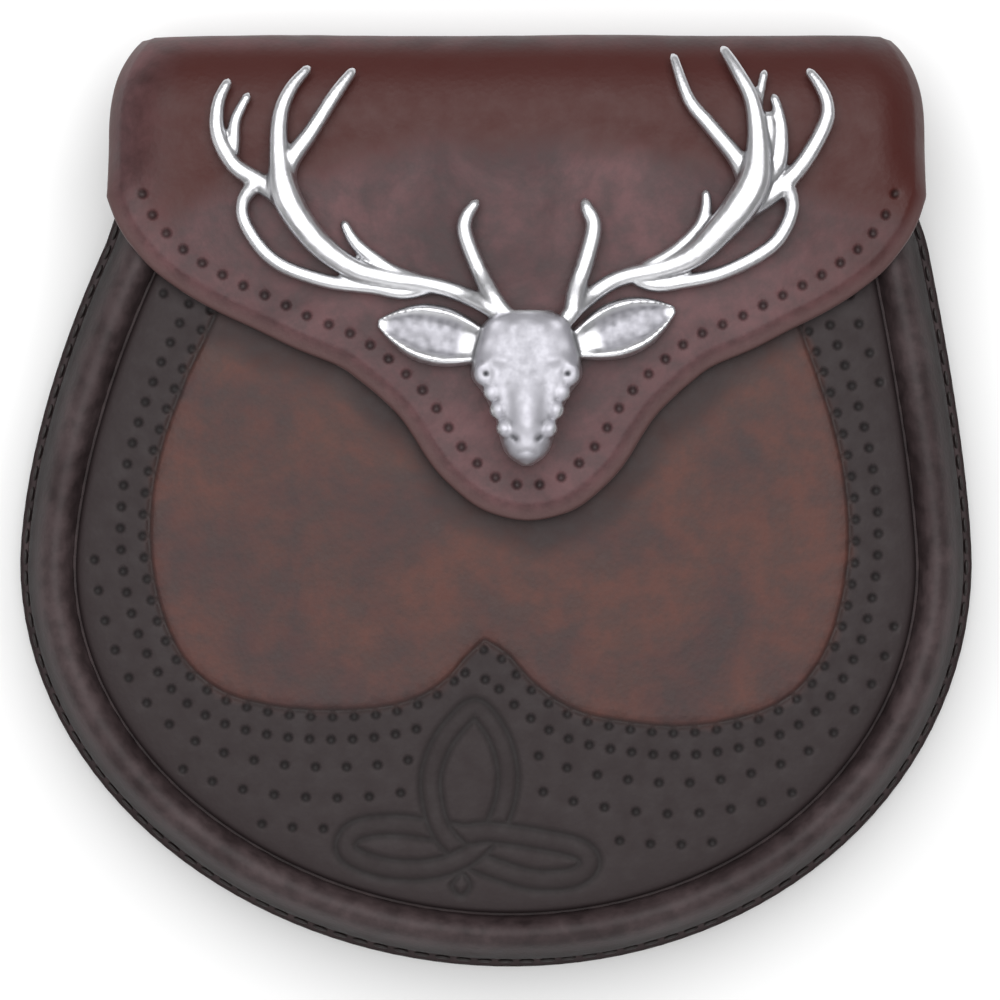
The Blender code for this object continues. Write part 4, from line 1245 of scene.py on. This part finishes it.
def head_rings():
    sections = smooth_line(HEAD_SECTIONS, 6)
    turn = np.linspace(0.0, math.pi, HEAD_SIDES)
    rings = []
    for down, half, relief in sections:
        x = FACE_X + HEAD_WIDTH * half * np.cos(turn)
        z = badge_seat(BADGE_X, BADGE_Y) + HEAD_RELIEF * relief * np.sin(turn) ** HEAD_FULLNESS
        rings.append(np.column_stack([x, np.full(HEAD_SIDES, BADGE_Y - HEAD_LENGTH * down), z]))
    return np.vstack(rings), len(sections), HEAD_SIDES


def ear_axes(side):
    """An ear's root, the vectors from root to tip and across it, and its section table."""
    across, down, turn, size = EARS[side]
    root = np.array([BADGE_X + HEAD_WIDTH * across, BADGE_Y - HEAD_LENGTH * down])
    cosine, sine = math.cos(math.radians(turn)), math.sin(math.radians(turn))
    return (root, np.array([cosine, sine]) * EAR_LENGTH * size,
            np.array([-sine, cosine]) * EAR_WIDTH * size, smooth_line(EAR_SECTIONS, 6))


def ear_rings(side):
    root, along_ear, over_ear, sections = ear_axes(side)
    base = badge_seat(*root)
    profile = smooth_line(EAR_PROFILE, 4)
    rings = []
    for along, half, rim, dish in sections:
        place = root + along_ear * along + np.outer(half * profile[:, 0], over_ear)
        height = base + EAR_RELIEF * (profile[:, 1] * rim + profile[:, 2] * dish)
        rings.append(np.column_stack([place, np.maximum(height, base)]))
    return np.vstack(rings), len(sections), len(profile)


def turned_rings(x, y, profile, sides):
    """A round solid on an upright axis, from the radius and height of each of its rings."""
    turn = turns(sides)
    rings = [np.column_stack([x + radius * np.cos(turn), y + radius * np.sin(turn), np.full(sides, z)])
             for radius, z in profile]
    return np.vstack(rings), len(rings), sides


def bump_rings(side, across, down, up, radius, thick):
    """A flattened ball: an eye, or one of the lobes of fur down the cheek."""
    x, y = FACE_X + side * across, BADGE_Y - down
    z = badge_seat(x, y) + up
    tilts = np.linspace(0.05, math.pi - 0.05, 14)
    profile = [(radius * math.sin(tilt), z - thick * math.cos(tilt)) for tilt in tilts]
    return turned_rings(x, y, profile, 20)


def badge_parts():
    parts = [tine_rings(marks) for marks in TINES.values()]
    parts += [ear_rings(side) for side in EARS]
    parts += [bump_rings(side, *bump) for side in (-1, 1) for bump in BUMPS]
    parts.append(head_rings())
    for across, up in POSTS:
        x, y = BADGE_X + ANTLER_SPREAD / 2 * across, BADGE_Y + ANTLER_RISE * up
        inside_z = flap_face(x) - FLAP_LEATHER - SEAT_GAP
        end = inside_z - POST_HEAD_THICKNESS
        tops = (flap_face(x) + ANTLER_THICKNESS / 3, inside_z)
        for top, wide in zip(tops, (POST_DIAMETER, POST_HEAD_DIAMETER)):
            parts.append(turned_rings(x, y, ((wide / 2, end), (wide / 2, top)), 16))
    return parts


# %% Fuse the badge
VOXEL = 0.32
SMOOTH_ROUNDS = 5


def fused_badge():
    points, faces, start = [], [], 0
    for places, count, width in badge_parts():
        points.append(places)
        faces += rings_to_faces(count, width, start)
        start += len(places)
    mesh = bpy.data.meshes.new("badge_pattern")
    mesh.from_pydata((np.vstack(points) * MM).tolist(), [], faces)
    edit = bmesh.new()
    edit.from_mesh(mesh)
    bmesh.ops.recalc_face_normals(edit, faces=edit.faces)
    edit.to_mesh(mesh)
    edit.free()
    pattern = put_in_scene("badge_pattern", mesh)
    fuse = pattern.modifiers.new("fuse", "REMESH")
    fuse.mode = "VOXEL"
    fuse.voxel_size = VOXEL * MM
    soften = pattern.modifiers.new("soften", "SMOOTH")
    soften.iterations = SMOOTH_ROUNDS
    soften.factor = 0.5
    bpy.context.view_layer.update()
    fused = bpy.data.meshes.new_from_object(
        pattern.evaluated_get(bpy.context.evaluated_depsgraph_get()))
    bpy.data.objects.remove(pattern, do_unlink=True)
    places = np.empty(len(fused.vertices) * 3, np.float32)
    fused.vertices.foreach_get("co", places)
    faces = [tuple(face.vertices) for face in fused.polygons]
    return places.reshape(-1, 3).astype(float) / MM, faces


badge_points, badge_faces = fused_badge()
print("badge has", len(badge_points), "points")

# %% Carve the face
HEAD_LINES = (
    # marks (across from the face's middle, down from the crown), half width, height, dark
    (((0.0, 3.0), (0.0, 11.5)), 4.2, -0.25, 0.2),
    (((4.4, 9.8), (6.6, 9.4), (9.6, 10.8)), 1.1, 0.4, 0.0),
    (((6.6, 1.8), (7.4, 2.4)), 1.3, 0.7, 0.0),
    (((2.6, 3.4), (2.8, 3.8)), 1.3, 0.35, 0.0),
    (((8.8, 6.2), (9.0, 6.8)), 1.4, 0.6, 0.0),
    (((0.0, 13.5), (0.0, 22.0)), 1.7, 0.4, 0.0),
    (((3.6, 14.5), (3.1, 21.5)), 1.2, -0.3, 0.1),
    (((2.2, 24.9), (2.6, 24.6)), 0.65, -0.4, 0.4),
    (((0.0, 27.2), (1.8, 27.6)), 0.5, -0.2, 0.12),
)
EYE_SHAPE = (
    # how far from the eye's middle, half width, height, dark: the pupil, then the lid round it
    (0.0, 0.55, -0.35, 0.75), (1.7, 0.6, 0.1, 0.0),
)
FUR_SIZE, FUR_HEIGHT = 1.8, 0.07


def face_carving(points):
    """How far each badge point is raised or cut on the face, how dark the cuts are, and where."""
    across, down = np.abs(points[:, 0] - FACE_X), BADGE_Y - points[:, 1]
    sections = smooth_line(HEAD_SECTIONS, 6)
    half = HEAD_WIDTH * np.interp(down / HEAD_LENGTH, sections[:, 0], sections[:, 1], left=0, right=0)
    share = across / np.maximum(half, 0.1)
    on_face = ease((1.0 - share) / 0.12) * ease(down / 1.0) * ease((HEAD_LENGTH - down) / 0.8)
    places = np.column_stack([across, down])
    around = np.hypot(across - EYE_ACROSS, down - EYE_DOWN)
    strokes = [(distance_to(walk(marks, 0.1), places), *rest) for marks, *rest in HEAD_LINES]
    strokes += [(around - away, *rest) for away, *rest in EYE_SHAPE]
    lift, dark = np.zeros(len(points)), np.zeros(len(points))
    for away, width, height, depth in strokes:
        near = np.exp(-(away / width) ** 2)
        lift += height * near
        dark = np.maximum(dark, depth * near)
    lift += FUR_HEIGHT * unevenness(points[:, :2], FUR_SIZE, 3.3) * ease((around - 2.6) / 0.8)
    return lift * on_face, dark * on_face, on_face


def ear_carving(points, side):
    """A soft ridge and some hair inside an ear, and where its dish is."""
    root, along_ear, over_ear, sections = ear_axes(side)
    away = points[:, :2] - root
    along, over = away @ along_ear / (along_ear @ along_ear), away @ over_ear / (over_ear @ over_ear)
    half = np.interp(along, sections[:, 0], sections[:, 1], left=0, right=0)
    share = over / np.maximum(half, 0.01)
    dish = ease((0.72 - np.abs(share)) / 0.2) * ease((along - 0.12) / 0.1) * ease((0.95 - along) / 0.1)
    ridge = np.exp(-((share + 0.1) / 0.22) ** 2) * np.exp(-((along - 0.5) / 0.2) ** 2)
    return dish * (0.35 * ridge + 0.15 * unevenness(points[:, :2], 1.6, 4.7)), dish


def hollowness(points, faces, rounds=8, full=0.10):
    """How deep each point lies in a hollow: 0 on flats and ridges, 1 in a crease."""
    corners = np.array(faces)
    starts, ends = corners.ravel(), np.roll(corners, -1, axis=1).ravel()
    count = np.bincount(starts, minlength=len(points))[:, None]
    across = np.cross(points[corners[:, 2]] - points[corners[:, 0]],
                      points[corners[:, 3]] - points[corners[:, 1]])
    normal = np.zeros_like(points)
    np.add.at(normal, starts, np.repeat(across, 4, axis=0))
    normal /= np.linalg.norm(normal, axis=1)[:, None] + 1e-9
    soft = points.copy()
    for _ in range(rounds):
        total = np.zeros_like(soft)
        np.add.at(total, starts, soft[ends])
        soft = total / count
    return ease(((soft - points) * normal).sum(axis=1) / full), normal


badge_normals = hollowness(badge_points, badge_faces)[1]
face_lift, face_dark, on_face = face_carving(badge_points)
ear_lifts = [ear_carving(badge_points, side) for side in EARS]
upward = ease((badge_normals[:, 2] - 0.1) / 0.4)
carved = face_lift + sum(lift for lift, dish in ear_lifts)
badge_points[:, 2] += carved * upward
hollow = hollowness(badge_points, badge_faces)[0]
dishes = sum(dish for lift, dish in ear_lifts)
badge_pit = np.clip(0.35 * hollow + 0.2 * dishes * upward + face_dark, 0.0, 1.0)
print("badge points in hollows:", int((badge_pit > 0.5).sum()))

# %% [markdown]
# ## Pewter
# Pewter is a soft grey-white metal. A buffing wheel brightens the antlers but can't reach into
# the hollows, which keep their dark casting skin, and the face and the ears stay satin. Those
# hollows and satin parts are numbers on the mesh too.

# %% Pewter
def polished_pewter():
    """Cast pewter off a buffing wheel: near white, satin on the face and in the ears, dark in hollows."""
    made, tree = new_material("polished_cast_pewter")
    where = (add(tree, "TexCoord"), "Object")
    cast = add(tree, "TexNoise", {"Scale": 1 / (1.2 * MM), "Detail": 4.0}, {"Vector": where})
    rough = add(tree, "MapRange", {"From Min": 0.3, "From Max": 0.7, "To Min": 0.32, "To Max": 0.44},
                {"Value": (cast, 0)})
    satin = add(tree, "Attribute", attribute_name="satin")
    softer = add(tree, "Math", {1: 0.24}, {0: (satin, "Fac"), 2: (rough, 0)}, operation="MULTIPLY_ADD")
    bump = add(tree, "Bump", {"Strength": 0.25, "Distance": 0.05 * MM}, {"Height": (cast, 0)})
    hollow = add(tree, "Attribute", attribute_name="pit")
    metal = add(tree, "Mix", {6: linear("#D2D2D5"), 7: linear("#C2C1C8")}, {0: (satin, "Fac")},
                data_type="RGBA")
    colour = add(tree, "Mix", {7: linear("#3A3B3F")}, {0: (hollow, "Fac"), 6: (metal, 2)},
                 data_type="RGBA")
    shader = add(tree, "BsdfPrincipled", {"Metallic": 1.0},
                 {"Base Color": (colour, 2), "Roughness": (softer, 0), "Normal": (bump, "Normal")})
    add(tree, "OutputMaterial", links={"Surface": (shader, "BSDF")})
    return made


pewter = polished_pewter()
put_piece("stag_head_casting", badge_points, badge_faces, pewter,
          replaces=("stag_head_badge",), slot="cast_badge",
          paint={"pit": badge_pit, "satin": np.maximum(on_face, dishes) * upward})

# %% [markdown]
# ## Stud
# A press stud under the tongue keeps the flap shut. The leather hides it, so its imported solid
# stays as it is and only gets its plating.

# %% Stud
def brushed_nickel():
    """Nickel plate on the press stud under the tongue: plain, a little brushed and warm."""
    made, tree = new_material("brushed_nickel")
    where = (add(tree, "TexCoord"), "Object")
    brush = add(tree, "TexNoise", {"Scale": 1 / (0.4 * MM), "Detail": 3.0}, {"Vector": where})
    rough = add(tree, "MapRange", {"To Min": 0.25, "To Max": 0.45}, {"Value": (brush, 0)})
    shader = add(tree, "BsdfPrincipled", {"Metallic": 1.0, "Base Color": linear("#C9C2B6")},
                 {"Roughness": (rough, 0)})
    add(tree, "OutputMaterial", links={"Surface": (shader, "BSDF")})
    return made


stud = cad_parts["flap_stud"]
stud.data.materials.clear()
stud.data.materials.append(brushed_nickel())
print("the stud is", stud.data.materials[0].name)
